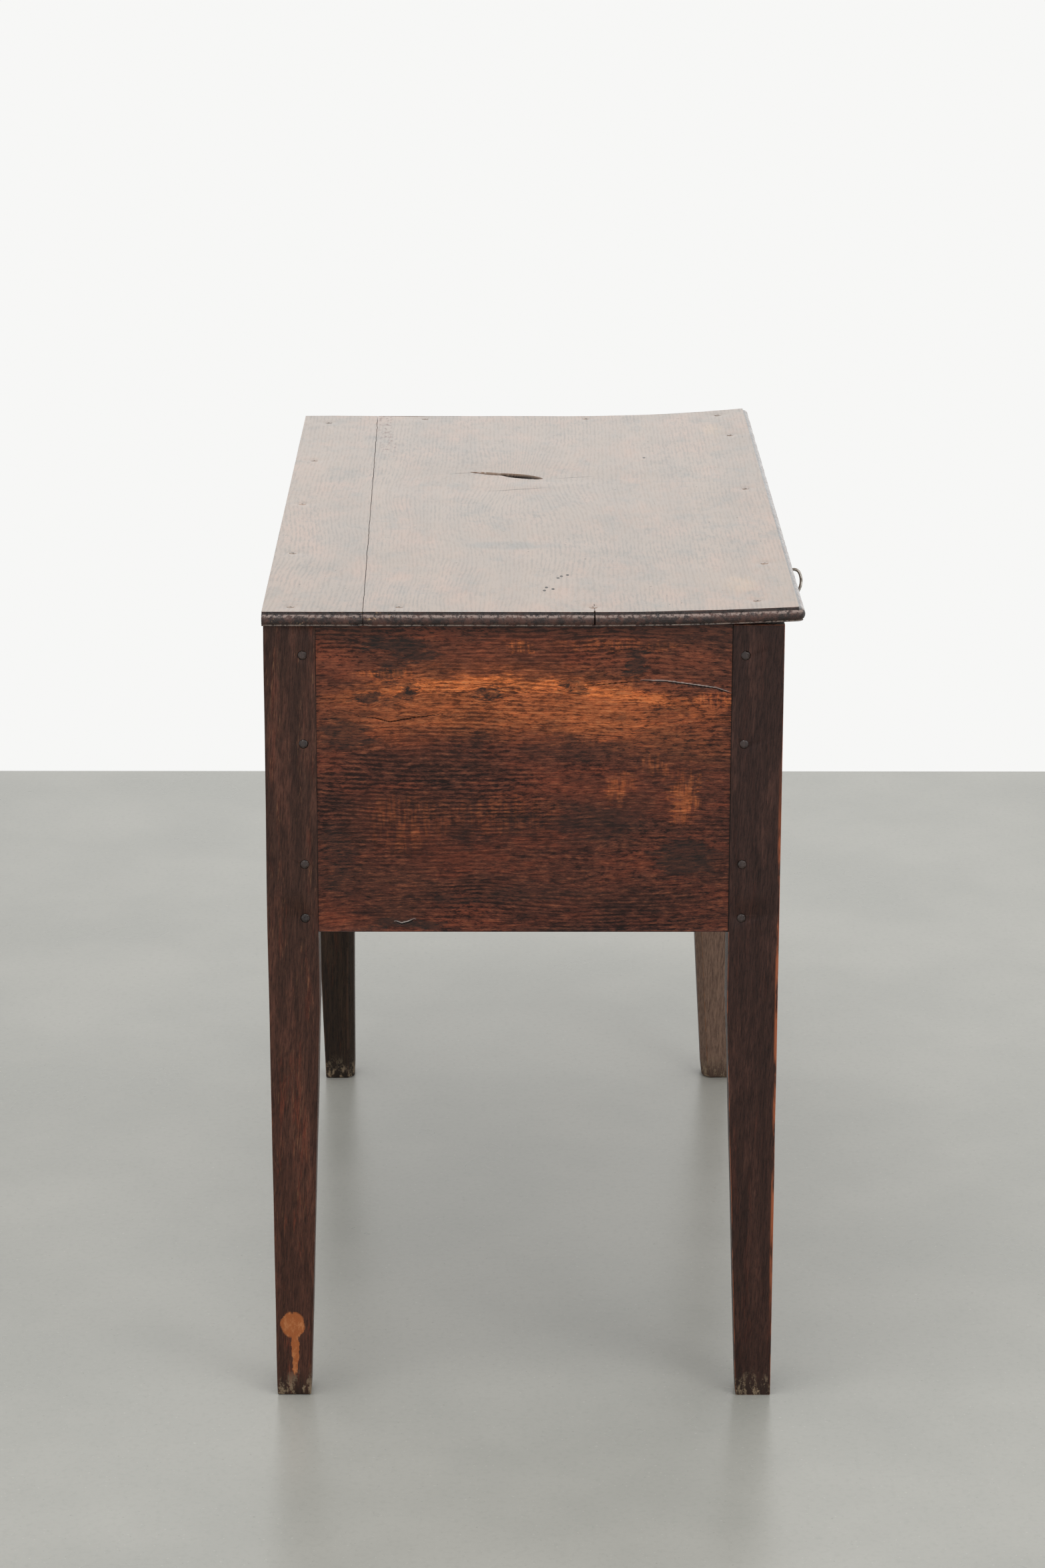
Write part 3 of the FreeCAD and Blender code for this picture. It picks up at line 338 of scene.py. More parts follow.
class Oak(Finish):
    """Oak with its grain along one axis of the table; each wood finish starts here."""

    def __init__(self, name, grain, seed):
        super().__init__(bpy.data.materials.new(name))
        self.x, self.y, self.z = self.parts(self.place())
        turned = {"X": (self.x, self.y, self.z), "Y": (self.y, self.z, self.x),
                  "Z": (self.z, self.x, self.y)}[grain]
        self.straight = self.stretched(self.vector(*turned), (1.0, 1.0, 1.0),
                                       tuple(seed * step for step in SEED_STEPS))
        wander = self.noise(self.straight, (4.0, 14.0, 14.0), detail=2.0) - 0.5
        along, across, deep = self.parts(self.straight)
        self.bent = self.vector(along, across + wander * GRAIN_WANDER,
                                deep + wander * GRAIN_WANDER)

    def clouds(self, along=6.0, across=14.0, detail=3.0):
        return self.noise(self.straight, (along, across, across), detail, 0.55)

    def rings(self, across=150.0):
        return self.noise(self.bent, (2.0, across, across), 3.0, 0.6, (3.0, 7.0, 1.0))

    def pores(self, along=70.0, across=900.0, low=0.56, high=0.7):
        streaks = self.noise(self.bent, (along, across, across), 1.0, 0.5, (11.0, 5.0, 2.0))
        return self.fade(streaks, low, high)

    def flecks(self, along=110.0, across=360.0, low=0.45, high=0.62):
        dashes = self.noise(self.bent, (along, across, across), 2.5, 0.6, (5.0, 9.0, 4.0))
        return self.fade(dashes, low, high)

    def year_rows(self, across, pitch, waver=0.8):
        """The rows of pores, one to each year's ring: 1 on a row and 0 midway between two."""
        drift = self.noise(self.straight, (7.0, 45.0, 45.0), 2.0, 0.5, (4.0, 6.0, 1.0))
        phase = (across * (1.0 / pitch) + drift * waver) * (2 * math.pi)
        return phase.sine() * 0.5 + 0.5

    def fibres(self, along=22.0, across=1100.0):
        """Fine streaks of lighter and darker wood, about 0.5 on average."""
        return self.noise(self.bent, (along, across, across), 3.0, 0.7, (7.0, 3.0, 9.0))

    def worn(self, low=0.45, high=0.65):
        """Patches of the worn arrises."""
        patches = self.noise(self.straight, (45.0, 70.0, 70.0), 3.0, 0.65, (2.0, 2.0, 8.0))
        return self.attribute("worn") * self.fade(patches, low, high)

    def oval(self, across, up, centre, radii):
        """0 in the middle of an oval on a face and 1 on its rim; its place and radii in mm."""
        return (((across - centre[0] * MM) / (radii[0] * MM)) ** 2.0
                + ((up - centre[1] * MM) / (radii[1] * MM)) ** 2.0)

    def blot(self, across, up, centre, radii):
        """A soft oval patch, 1 in its middle."""
        return self.fade(self.oval(across, up, centre, radii), 1.0, 0.05)

    def waxed(self, tone, grain_height, roughness, gloss, more=None, ripple=PLANING_DEPTH):
        """The surface: its colour, the depth of its grain and how much it shines."""
        planed = self.noise(self.straight, (9.0, 30.0, 30.0), 2.0, 0.5, (6.0, 1.0, 3.0))
        uneven = self.bump(planed, ripple)
        normal = self.bump(grain_height, PORE_DEPTH, 0.8, uneven)
        sockets = {"Base Color": tone, "Roughness": roughness, "Normal": normal,
                   "Specular IOR Level": gloss}
        sockets.update(more or {})
        return self.surface(sockets)


# Side boards, (y, z) in mm. Dark stains: place, (half length, half height), strength
SIDE_STAINS = (((133, 690), (34, 9), 1.0), ((112, 679), (22, 9), 0.9), ((138, 666), (13, 13), 0.7),
               ((123, 650), (12, 11), 0.95), ((156, 643), (12, 9), 0.95), ((137, 636), (15, 8), 0.55),
               ((54, 647), (12, 7), 0.85), ((-19, 654), (12, 7), 0.9), ((174, 611), (24, 16), 0.75),
               ((-73, 673), (9, 20), 0.9), ((-68, 684), (10, 6), 0.5), ((-20, 598), (58, 12), 0.4),
               ((-40, 533), (56, 20), 0.5), ((-116, 502), (32, 24), 0.75), ((-96, 604), (44, 18), 0.4),
               ((25, 530), (24, 14), 0.35), ((122, 441), (34, 6), 0.9), ((70, 536), (7, 40), 0.25),
               ((-170, 560), (9, 90), 0.7), ((182, 500), (14, 40), 0.45), ((70, 600), (20, 20), 0.3),
               ((-95, 628), (20, 10), 0.35), ((10, 470), (60, 10), 0.35), ((80, 462), (22, 8), 0.4))
# Lighter places, where the polish is rubbed thin
SIDE_RUBBED = (((-116, 556), (16, 34), 0.30), ((-60, 564), (16, 18), 0.26), ((124, 532), (46, 34), 0.13),
               ((29, 689), (12, 5), 0.55), ((-100, 585), (26, 16), 0.2), ((140, 664), (36, 6), 0.5),
               ((-60, 690), (70, 6), 0.2), ((-140, 640), (40, 10), 0.4), ((40, 540), (60, 24), 0.1))
# Knots that the grain runs round, and their size
SIDE_KNOTS = ((156, 643), (137, 634), (123, 651), (54, 647), (-19, 654))
SIDE_KNOT_RADII = (17, 10)
# Cracks: places in order from end to end, and half width
SIDE_CRACKS = ((((-78, 658.5), (-100, 657.5), (-125, 654), (-142, 651.5), (-155, 647)), 0.7),
               (((-20, 652.5), (-48, 655.5), (-78, 658.5)), 0.4),
               (((164, 627), (150, 625.5), (137, 622), (118, 625.5), (92, 629)), 0.45),
               (((133, 443), (128, 441), (122, 442.5), (117, 445)), 0.8))
SIDE_CRACK_DEPTH = 1.2 * MM
# The faces near a crack are divided again and again: how near, and into how many cuts
SIDE_CRACK_CELLS = ((4.5 * MM, 1), (3.0 * MM, 2), (1.5 * MM, 1))
# Only a crack wider than this has a painted glint along its lip, placed and sized by the crack's half
# width
LIPPED_HALF_WIDTH = 0.6 * MM
LIP_AWAY = 1.3
LIP_SPREAD = 0.9

# The bright, bare band: a low arch with a glow under it, and how far it runs along the board
BAND_CROWN_Y = 50.0 * MM
BAND_CROWN_Z = 656.0 * MM
BAND_BEND = 0.75
BAND_HALF_HEIGHT = 13.0 * MM
GLOW_DROP = 16.0 * MM
GLOW_REACH = (42.0 * MM, 8.0 * MM)
BAND_MIDDLE_Y = 20.0 * MM
BAND_REACH = (210.0 * MM, 60.0 * MM)
# How ragged the rubbed and stained patches are, along and up
RAGGED_ALONG = 50.0 * MM
RAGGED_UP = 24.0 * MM
# Dirt and painted shade under the overhang of the top, and where the board is at its brightest
DIRT_AND_SHADE_UNDER_TOP = (UNDERSIDE - 24.0 * MM, UNDERSIDE)
BRIGHT_HEIGHTS = (540.0 * MM, 690.0 * MM)
SIDE_SWAY = 26.0 * MM
SIDE_ROW_PITCH = 3.7 * MM

SIDE_RED = (0.120, 0.034, 0.019)
SIDE_BRIGHT_RED = (0.225, 0.062, 0.029)
SIDE_BROWN = (0.085, 0.032, 0.019)
SIDE_RUST = (0.26, 0.060, 0.026)
BARE_ORANGE = (0.92, 0.25, 0.065)
BARE_GLINT = (0.95, 0.36, 0.12)
SIDE_GLINT = (0.40, 0.135, 0.060)
SIDE_FIBRE_SHADE = (0.50, 0.45, 0.45)
SIDE_DASH_SHADE = (0.13, 0.13, 0.16)
SIDE_MOTTLE_SHADE = (0.32, 0.34, 0.42)
SIDE_MOTTLE_LIGHT = (1.6, 1.40, 1.25)
STAIN_AND_SHADE_BLACK = (0.017, 0.012, 0.010)
SIDE_ARRIS_BLACK = (0.020, 0.013, 0.011)
CRACK_LIP_GLINT = (0.66, 0.58, 0.54)


def side_oak(name, seed, stains, rubbed, knots):
    """The wide side boards: red-brown with rows of dark dashes and one bright, bare band."""
    wood = Oak(name, "Y", seed)
    ragged = wood.noise(wood.straight, (22.0, 90.0, 90.0), 5.0, 0.7) - 0.5
    torn = wood.noise(wood.straight, (70.0, 260.0, 260.0), 4.0, 0.8, (3.0, 3.0, 6.0)) - 0.5
    along = wood.y + ragged * RAGGED_ALONG + torn * RAGGED_ALONG
    up = wood.z + ragged * RAGGED_UP - torn * RAGGED_UP

    arch = up + (wood.y - BAND_CROWN_Y) ** 2.0 * BAND_BEND - BAND_CROWN_Z
    core = wood.fade(arch.size(), BAND_HALF_HEIGHT, 0.0)
    glow = wood.fade((arch + GLOW_DROP).size(), *GLOW_REACH)
    lengthways = wood.fade((wood.y - BAND_MIDDLE_Y).size(), *BAND_REACH)
    rub = core.larger(glow * 0.42) * lengthways
    flame = wood.noise(wood.straight, (230.0, 30.0, 60.0), 3.0, 0.65, (2.0, 8.0, 5.0))
    flame = wood.fade(flame, 0.40, 0.60) * 1.1 + 0.1
    for centre, radii, strength in rubbed:
        rub = rub.larger(wood.blot(along, up, centre, radii) * flame * strength)
    # Darker under the overhang of the top: dirt, and painted shade where the top shades the board
    stain_and_shade = wood.fade(wood.z + ragged * RAGGED_UP, *DIRT_AND_SHADE_UNDER_TOP) * 0.75
    for centre, radii, strength in stains:
        stain_and_shade = stain_and_shade.larger(wood.fade(wood.blot(along, up, centre, radii), 0.0, 0.8) * strength)

    lane = wood.z
    for y, z in knots:
        round_knot = wood.blot(wood.y, wood.z, (y, z), SIDE_KNOT_RADII)
        lane = lane - (wood.z - z * MM) * round_knot * 0.7
    sway = wood.noise(wood.straight, (5.0, 9.0, 9.0), 2.0, 0.5, (2.0, 2.0, 5.0)) - 0.5
    lane = lane + sway * SIDE_SWAY
    grain = wood.vector(wood.y, lane, wood.x)
    rows = wood.year_rows(lane, SIDE_ROW_PITCH)
    broken = wood.noise(grain, (105.0, 360.0, 60.0), 4.0, 0.8, (5.0, 9.0, 4.0))
    ordered = wood.fade(wood.clouds(6.0, 10.0), 0.40, 0.60) * 0.11 + 0.03
    dashes = wood.fade(broken + rows * ordered, 0.51, 0.66)
    glints = wood.fade(broken + rows * ordered, 0.50, 0.38)
    mottle = wood.noise(wood.straight, (34.0, 110.0, 110.0), 5.0, 0.8, (6.0, 6.0, 1.0))
    fibres = wood.noise(grain, (30.0, 1000.0, 60.0), 3.0, 0.7, (7.0, 3.0, 9.0))
    figure = wood.noise(wood.straight, (12.0, 34.0, 34.0), 4.0, 0.65, (1.0, 6.0, 9.0))

    tone = wood.mix(wood.fade(wood.z, *BRIGHT_HEIGHTS), SIDE_RED, SIDE_BRIGHT_RED)
    tone = wood.mix(wood.fade(figure, 0.60, 0.36) * 0.6, tone, SIDE_BROWN)
    tone = wood.mix(wood.fade(figure, 0.52, 0.70) * 0.5, tone, SIDE_RUST)
    tone = wood.mix(rub * 0.95, tone, BARE_ORANGE)
    tone = wood.mix(rub * glints * 0.8, tone, BARE_GLINT)
    tone = wood.mix(glints * 0.36, tone, SIDE_GLINT)
    tone = wood.mix(wood.fade(fibres, 0.36, 0.64), tone, SIDE_FIBRE_SHADE, "MULTIPLY")
    strong = wood.fade(wood.clouds(8.0, 18.0), 0.34, 0.62) * 0.40 + 0.55
    tone = wood.mix(dashes * strong, tone, SIDE_DASH_SHADE, "MULTIPLY")
    tone = wood.mix(wood.fade(mottle, 0.50, 0.62) * 0.75, tone, SIDE_MOTTLE_SHADE, "MULTIPLY")
    tone = wood.mix(wood.fade(mottle, 0.47, 0.35) * 0.45, tone, SIDE_MOTTLE_LIGHT, "MULTIPLY")
    # The stains, and the painted shade under the top, darken the wood
    tone = wood.mix(stain_and_shade * (dashes * 0.3 + 0.72), tone, STAIN_AND_SHADE_BLACK)
    tone = wood.mix(wood.attribute("worn") * 0.8, tone, SIDE_ARRIS_BLACK)
    tone = wood.mix(wood.attribute("split"), tone, SPLIT_AND_SOCKET_SHADE_BLACK)
    # A pale line along the lip of the wider cracks: a painted glint, standing for light caught on the
    # lip
    tone = wood.mix(wood.attribute("lip") * wood.fade(fibres, 0.72, 0.50), tone, CRACK_LIP_GLINT)
    height = 1.0 - dashes * 0.5 - fibres * 0.7
    rough = 0.34 + dashes * 0.2 + fibres * 0.12
    return wood.waxed(tone, height, rough, 0.22)


# Legs: the heights between which the colour goes from that of the top to that of the foot
LEG_REDDENS = (500.0 * MM, 100.0 * MM)
# The front arris of the left end, rubbed pale: how near to it, and between which heights
FRONT_LEG_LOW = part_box("leg_front_left")[0]
ARRIS_FROM_FRONT = (FRONT_LEG_LOW.y + 3.2 * MM, FRONT_LEG_LOW.y + 1.5 * MM)
ARRIS_FROM_END = (FRONT_LEG_LOW.x + 2.9 * MM, FRONT_LEG_LOW.x + 1.3 * MM)
ARRIS_FADES_UP = (600.0 * MM, 480.0 * MM)
ARRIS_FADES_DOWN = (60.0 * MM, 140.0 * MM)
# A bruise near a foot of the left end, and the run below it: (y, z) and radii in mm
BRUISE = ((226.5, 68.0), (11.2, 13.5))
BRUISE_RUN = ((225.0, 44.0), (3.3, 26.0))
BRUISE_FROM_END = (FRONT_LEG_LOW.x + 3.5 * MM, FRONT_LEG_LOW.x + 0.3 * MM)
BRUISE_RAGGED_ACROSS = 7.0 * MM
BRUISE_RAGGED_UP = 9.0 * MM
# Dirt and chips at the foot
FOOT_DIRT = (30.0 * MM, 4.0 * MM)
FOOT_CHIPS = (30.0 * MM, 0.0)

LEG_DASH_SHADE = (0.38, 0.38, 0.42)
LEG_SHUT_BLACK = (0.016, 0.011, 0.009)
FOOT_DIRT_BLACK = (0.022, 0.017, 0.013)
CHIPPED_OAK = (0.34, 0.25, 0.16)
BRUISE_ORANGE = (0.40, 0.120, 0.036)
BRUISE_GLINT = (0.52, 0.20, 0.075)


def shaded(tone, share):
    """A colour made darker or lighter all over."""
    return [part * share for part in tone]


def leg_oak(name, seed, dark, red, worn_tone, streaks, rust, pale_and_lit_tones=None):
    """The legs: nearly black at the top, redder and bruised towards the foot."""
    wood = Oak(name, "Z", seed)
    low = wood.fade(wood.z, *LEG_REDDENS)
    slant = wood.vector(wood.z, wood.y + wood.z * 0.07 + wood.x, wood.x - wood.y * 0.4)
    dashes = wood.noise(slant, (95.0, 620.0, 620.0), 4.0, 0.8, (seed, 2.0, 3.0))
    dashes = wood.fade(dashes, 0.44, 0.64)
    fibres = wood.noise(slant, (30.0, 1500.0, 1500.0), 3.0, 0.7, (seed, 8.0, 1.0))
    rings = wood.rings(170.0)
    patches = wood.noise(wood.straight, (9.0, 55.0, 55.0), 5.0, 0.7, (2.0, 9.0, 4.0))
    flare = wood.noise(wood.straight, (16.0, 130.0, 130.0), 4.0, 0.7, (9.0, 1.0, 4.0))
    grime = wood.noise(wood.straight, (70.0, 130.0, 130.0), 5.0, 0.75, (3.0, 5.0, 4.0))

    tone = wood.mix(low, dark, red)
    tone = wood.mix(wood.fade(rings, 0.36, 0.68) * 0.7, tone, shaded(dark, 0.55))
    tone = wood.mix(wood.fade(patches, 0.50, 0.68) * 0.7, tone, shaded(red, 1.6))
    rusty = [red[0] * 2.1, red[1] * 1.25, red[2]]
    tone = wood.mix(wood.fade(flare, 0.54, 0.70) * (0.3 + low * 0.5) * rust, tone, rusty)
    # The inner faces below the boards: paler wood, with painted light on them
    if pale_and_lit_tones:
        tone = wood.mix(wood.attribute("inner"), tone, wood.mix(low, *pale_and_lit_tones))
    tone = wood.mix(wood.fade(fibres, 0.38, 0.64) * 0.9, tone, FIBRE_SHADE, "MULTIPLY")
    tone = wood.mix(dashes * 0.75, tone, LEG_DASH_SHADE, "MULTIPLY")

    tan = wood.noise(slant, (60.0, 900.0, 900.0), 3.0, 0.7, (4.0, 4.0, 4.0))
    tan = wood.fade(tan, 0.56, 0.70) * wood.fade(flare, 0.46, 0.60)
    tone = wood.mix(tan * streaks, tone, worn_tone)
    tone = wood.mix(wood.worn(0.36, 0.60) * 0.85, tone, worn_tone)
    front_line = wood.fade(wood.y, *ARRIS_FROM_FRONT) * wood.fade(wood.x, *ARRIS_FROM_END)
    front_line = front_line * wood.fade(wood.z, *ARRIS_FADES_UP)
    front_line = front_line * wood.fade(wood.z, *ARRIS_FADES_DOWN)
    tone = wood.mix(front_line * wood.fade(flare, 0.40, 0.56) * 0.8, tone, worn_tone)
    tone = wood.mix(wood.attribute("shut") * 0.85, tone, LEG_SHUT_BLACK)
    # The ring round each peg's socket is painted near black: painted shade in the gap round the peg
    tone = wood.mix(wood.attribute("socket") * wood.fade(flare, 0.62, 0.42), tone, SPLIT_AND_SOCKET_SHADE_BLACK)
    chips = wood.fade(wood.z, *FOOT_CHIPS) * wood.fade(grime, 0.50, 0.60)
    tone = wood.mix(wood.fade(wood.z, *FOOT_DIRT) * 0.5, tone, FOOT_DIRT_BLACK)
    tone = wood.mix(chips * 0.8, tone, CHIPPED_OAK)

    ragged = wood.noise(wood.straight, (90.0, 160.0, 160.0), 4.0, 0.7, (1.0, 2.0, 3.0)) - 0.5
    across = wood.y + ragged * BRUISE_RAGGED_ACROSS
    up = wood.z + ragged * BRUISE_RAGGED_UP
    bare = wood.oval(across, up, *BRUISE).smaller(wood.oval(across, up, *BRUISE_RUN))
    bare = wood.fade(bare, 1.0, 0.7) * wood.fade(wood.x, *BRUISE_FROM_END)
    tone = wood.mix(bare * 0.94, tone, BRUISE_ORANGE)
    tone = wood.mix(bare * wood.fade(grime, 0.50, 0.66), tone, BRUISE_GLINT)
    height = 1.0 - dashes * 0.5 - fibres * 0.6 - bare * 0.8
    return wood.waxed(tone, height, 0.36 + dashes * 0.2, 0.20)


PALE_ARRIS = (0.20, 0.075, 0.035)
DARK_RINGS = (0.035, 0.017, 0.013)
DARK_DASH_SHADE = (0.34, 0.33, 0.37)


def dark_oak(name, grain, seed, deep, warm, light=PALE_ARRIS, gloss=0.30, wax=0.0):
    """Dark waxed oak for the front frame, the drawer fronts, beads and pegs."""
    wood = Oak(name, grain, seed)
    dashes = wood.flecks(55.0, 560.0, 0.42, 0.68)
    fibres = wood.fibres()
    tone = wood.mix(wood.fade(wood.clouds(5.0, 22.0, 5.0), 0.35, 0.66), deep, warm)
    tone = wood.mix(wood.fade(wood.rings(120.0), 0.4, 0.7) * 0.5, tone, DARK_RINGS)
    tone = wood.mix(wood.fade(fibres, 0.38, 0.64) * 0.9, tone, FIBRE_SHADE, "MULTIPLY")
    tone = wood.mix(dashes * 0.75, tone, DARK_DASH_SHADE, "MULTIPLY")
    tone = wood.mix(wood.worn() * 0.8, tone, light)
    height = 1.0 - dashes * 0.5 - fibres * 0.6
    return wood.waxed(tone, height, 0.38 + dashes * 0.2, gloss,
                      {"Coat Weight": wax, "Coat Roughness": 0.15})


def bare_oak(name, grain, seed, pale, dark):
    """Unpolished oak, brown with dust and age, for the inside and the back."""
    wood = Oak(name, grain, seed)
    dashes = wood.flecks(50.0, 520.0, 0.44, 0.70)
    fine = wood.pores(45.0, 1200.0, 0.52, 0.68)
    tone = wood.mix(wood.fade(wood.clouds(3.0, 14.0, 5.0), 0.3, 0.7), pale, dark)
    tone = wood.mix(wood.fade(wood.rings(90.0), 0.45, 0.72) * 0.45, tone, dark)
    tone = wood.mix(dashes * 0.35, tone, shaded(dark, 0.5))
    tone = wood.mix(fine * 0.5, tone, shaded(dark, 0.3))
    tone = wood.mix(wood.worn() * 0.6, tone, shaded(dark, 0.55))
    height = 1.0 - dashes * 0.5 - fine * 0.6
    return wood.waxed(tone, height, 0.72 + dashes * 0.1, 0.25, ripple=SAWN_DEPTH)


# The top's face. The grain swirls round the lost knot, and sways more towards the back and left
SWIRL_X = 136.0 * MM
SWIRL_Y = 24.0 * MM
SWIRL_REACH = 85.0 * MM
SWIRL_PUSH = 15.0 * MM
SWIRL_SIDES = 30.0 * MM
TOP_SWAY = 10.0 * MM
ADDED_SWAY = 38.0 * MM
ADDED_TO_BACK = (-140.0 * MM, 0.0)
ADDED_TO_LEFT = (360.0 * MM, 0.0)
TOP_ROW_PITCH = 3.8 * MM
TOP_PORE_DEPTH = 0.12 * MM
TOP_PLANING_DEPTH = 0.8 * MM
# A greyed patch and the rubbed ends, in mm: (y, x), then half width and half length
GREY_PATCH = ((32.0, -178.0), (56.0, 22.0))
RUBBED_ENDS = (((-166.0, -342.0), (18.0, 40.0)), ((-175.0, 334.0), (14.0, 40.0)))
# A worm-eaten strip beside the joint: a place on its line, its slope, and how far it reaches
EATEN_X = 440.0 * MM
EATEN_Y = 163.0 * MM
EATEN_SLOPE = 0.052
EATEN_ACROSS = (11.0 * MM, 4.0 * MM)
EATEN_ALONG = (200.0 * MM, 280.0 * MM)
# The moulding of the left end, bruised pale by the joint and at the back
LEFT_END = (TOP_LOW.x + 16.5 * MM, TOP_LOW.x + 6.5 * MM)
BRUISED_Y = 152.0 * MM
BRUISED_REACH = 40.0 * MM
BRUISED_HEIGHTS = (UNDERSIDE + 4.0 * MM, UNDERSIDE + 6.5 * MM)
BRUISED_BACK = (185.0 * MM, 230.0 * MM)
# The tail of the knot, which is brown and not black
TAIL_ACROSS = (40.0 * MM, 46.0 * MM)
TAIL_ALONG = (90.0 * MM, 100.0 * MM)

TOP_BROWN = (0.188, 0.107, 0.052)
TOP_PALE_BROWN = (0.242, 0.139, 0.070)
TOP_WARM = (0.34, 0.150, 0.064)
TOP_GREY = (0.112, 0.103, 0.086)
TOP_RUBBED = (0.46, 0.25, 0.08)
TOP_DASH = (0.070, 0.048, 0.036)
TOP_FIBRE = (0.07, 0.05, 0.038)
TOP_SCRATCH = (0.06, 0.045, 0.035)
EATEN_BROWN = (0.14, 0.048, 0.026)
HOLE_BLACK = (0.018, 0.012, 0.010)
EDGE_BLACK = (0.016, 0.009, 0.008)
EDGE_BROWN = (0.085, 0.037, 0.027)
EDGE_CHIP = (0.40, 0.26, 0.15)
EDGE_PAINTED_HIGHLIGHT = (0.29, 0.215, 0.185)
GROOVE_SHADE_BLACK = (0.008, 0.005, 0.005)
EDGE_RIM_HIGHLIGHT = (0.30, 0.24, 0.20)
KNOT_SHADE_BLACK = (0.010, 0.007, 0.006)
KNOT_TAIL_BROWN = (0.10, 0.062, 0.042)


def top_oak():
    """The top: rubbed brown oak greyed with age, with a wax gloss that catches low light."""
    wood = Oak("faded_top_oak", "X", 1)
    from_knot = wood.vector((wood.x - SWIRL_X) * 0.4, wood.y - SWIRL_Y, 0.0)
    reach = wood.node("ShaderNodeVectorMath", {"operation": "LENGTH"}, {0: from_knot}, out=1)
    swirl = wood.fade(reach, SWIRL_REACH, 0.0) * SWIRL_PUSH
    side = wood.fade(wood.y - SWIRL_Y, -SWIRL_SIDES, SWIRL_SIDES, -1.0, 1.0)
    sway = wood.noise(wood.straight, (2.6, 7.0, 6.0), 2.0, 0.45, (1.0, 4.0, 2.0)) - 0.5
    added = wood.fade(wood.y, *ADDED_TO_BACK) * wood.fade(wood.x, *ADDED_TO_LEFT)
    lane = wood.y + swirl * side + sway * (TOP_SWAY + added * ADDED_SWAY)
    grain = wood.vector(wood.x, lane, wood.z)
    rows = wood.year_rows(lane, TOP_ROW_PITCH, 0.5)
    broken = wood.noise(grain, (55.0, 420.0, 60.0), 3.0, 0.75, (5.0, 2.0, 0.0))
    dashes = wood.fade(broken + rows * 0.16, 0.54, 0.74)
    beat = wood.noise(wood.straight, (7.0, 12.0, 10.0), 3.0, 0.6, (5.0, 5.0, 5.0))
    beat = wood.fade(beat, 0.38, 0.64)
    fibres = wood.noise(grain, (18.0, 900.0, 60.0), 2.0, 0.6, (3.0, 1.0, 0.0))
    broad = wood.noise(grain, (1.6, 24.0, 8.0), 3.0, 0.55, (2.0, 5.0, 0.0))
    warm = wood.noise(wood.straight, (11.0, 22.0, 10.0), 5.0, 0.7, (9.0, 2.0, 0.0))
    cool = wood.noise(wood.straight, (20.0, 30.0, 9.0), 6.0, 0.8, (4.0, 8.0, 0.0))
    scratch = wood.noise(wood.straight, (150.0, 14.0, 9.0), 2.0, 0.6, (1.0, 8.0, 3.0))

    greyed = wood.blot(wood.y, wood.x, *GREY_PATCH) * wood.fade(cool, 0.3, 0.5)
    greyed = greyed.larger(wood.fade(cool, 0.48, 0.70) * 0.8)
    tone = wood.mix(wood.fade(broad, 0.3, 0.7), TOP_BROWN, TOP_PALE_BROWN)
    tone = wood.mix(wood.fade(warm, 0.44, 0.70) * 0.65, tone, TOP_WARM)
    tone = wood.mix(greyed * 0.8, tone, TOP_GREY)
    for centre, radii in RUBBED_ENDS:
        bare = wood.blot(wood.y, wood.x, centre, radii) * wood.fade(warm, 0.38, 0.58)
        tone = wood.mix(bare * 0.4, tone, TOP_RUBBED)
    tone = wood.mix(dashes * (0.10 + beat * 0.4), tone, TOP_DASH)
    tone = wood.mix(wood.fade(fibres, 0.5, 0.68) * 0.25, tone, TOP_FIBRE)
    tone = wood.mix(wood.fade(scratch, 0.66, 0.74) * 0.35, tone, TOP_SCRATCH)

    from_line = wood.y - EATEN_Y - (wood.x - EATEN_X) * EATEN_SLOPE
    eaten = wood.fade(from_line.size(), *EATEN_ACROSS) * wood.fade(wood.x, *EATEN_ALONG)
    specks = wood.noise(wood.straight, (110.0, 230.0, 60.0), 4.0, 0.75, (6.0, 6.0, 0.0))
    eaten = eaten * wood.fade(specks, 0.54, 0.59)
    tone = wood.mix(eaten, tone, EATEN_BROWN)
    dents = wood.noise(wood.straight, (130.0, 200.0, 60.0), 2.0, 0.6, (8.0, 3.0, 0.0))
    marks = wood.fade(dents, 0.73, 0.77) * 0.6
    slant = wood.x + wood.y * CRACK_SLANT
    for centre, radii in CRACKED_LINES:
        marks = marks.larger(wood.blot(wood.y, slant, centre, radii) * 0.7)
    for x, y in WORM_HOLES:
        hole = wood.blot(wood.y, wood.x, (y, x), WORM_HOLE_RADII)
        marks = marks.larger(wood.fade(hole, 0.2, 0.5))
    tone = wood.mix(marks, tone, HOLE_BLACK)

    edge = wood.attribute("moulded")
    stained = wood.noise(wood.straight, (60.0, 90.0, 90.0), 5.0, 0.75, (3.0, 3.0, 8.0))
    rubbed = wood.noise(wood.straight, (170.0, 240.0, 240.0), 5.0, 0.75, (7.0, 7.0, 7.0))
    bruises = wood.noise(wood.straight, (180.0, 300.0, 300.0), 4.0, 0.65, (2.0, 1.0, 3.0))
    tone = wood.mix(edge, tone, wood.mix(wood.fade(stained, 0.40, 0.64), EDGE_BLACK, EDGE_BROWN))
    left_end = wood.fade(wood.x, *LEFT_END)
    by_joint = wood.fade((wood.y - BRUISED_Y).size(), BRUISED_REACH, 0.0)
    by_joint = by_joint * wood.fade(wood.z, *BRUISED_HEIGHTS)
    at_back = wood.fade(wood.y, *BRUISED_BACK) * 0.6
    tan = (0.04 + by_joint.larger(at_back) * 0.26) * left_end
    chips = wood.fade(rubbed, 0.66 - tan * 0.4, 0.71 - tan * 0.4)
    tone = wood.mix(edge * chips * 0.8, tone, EDGE_CHIP)
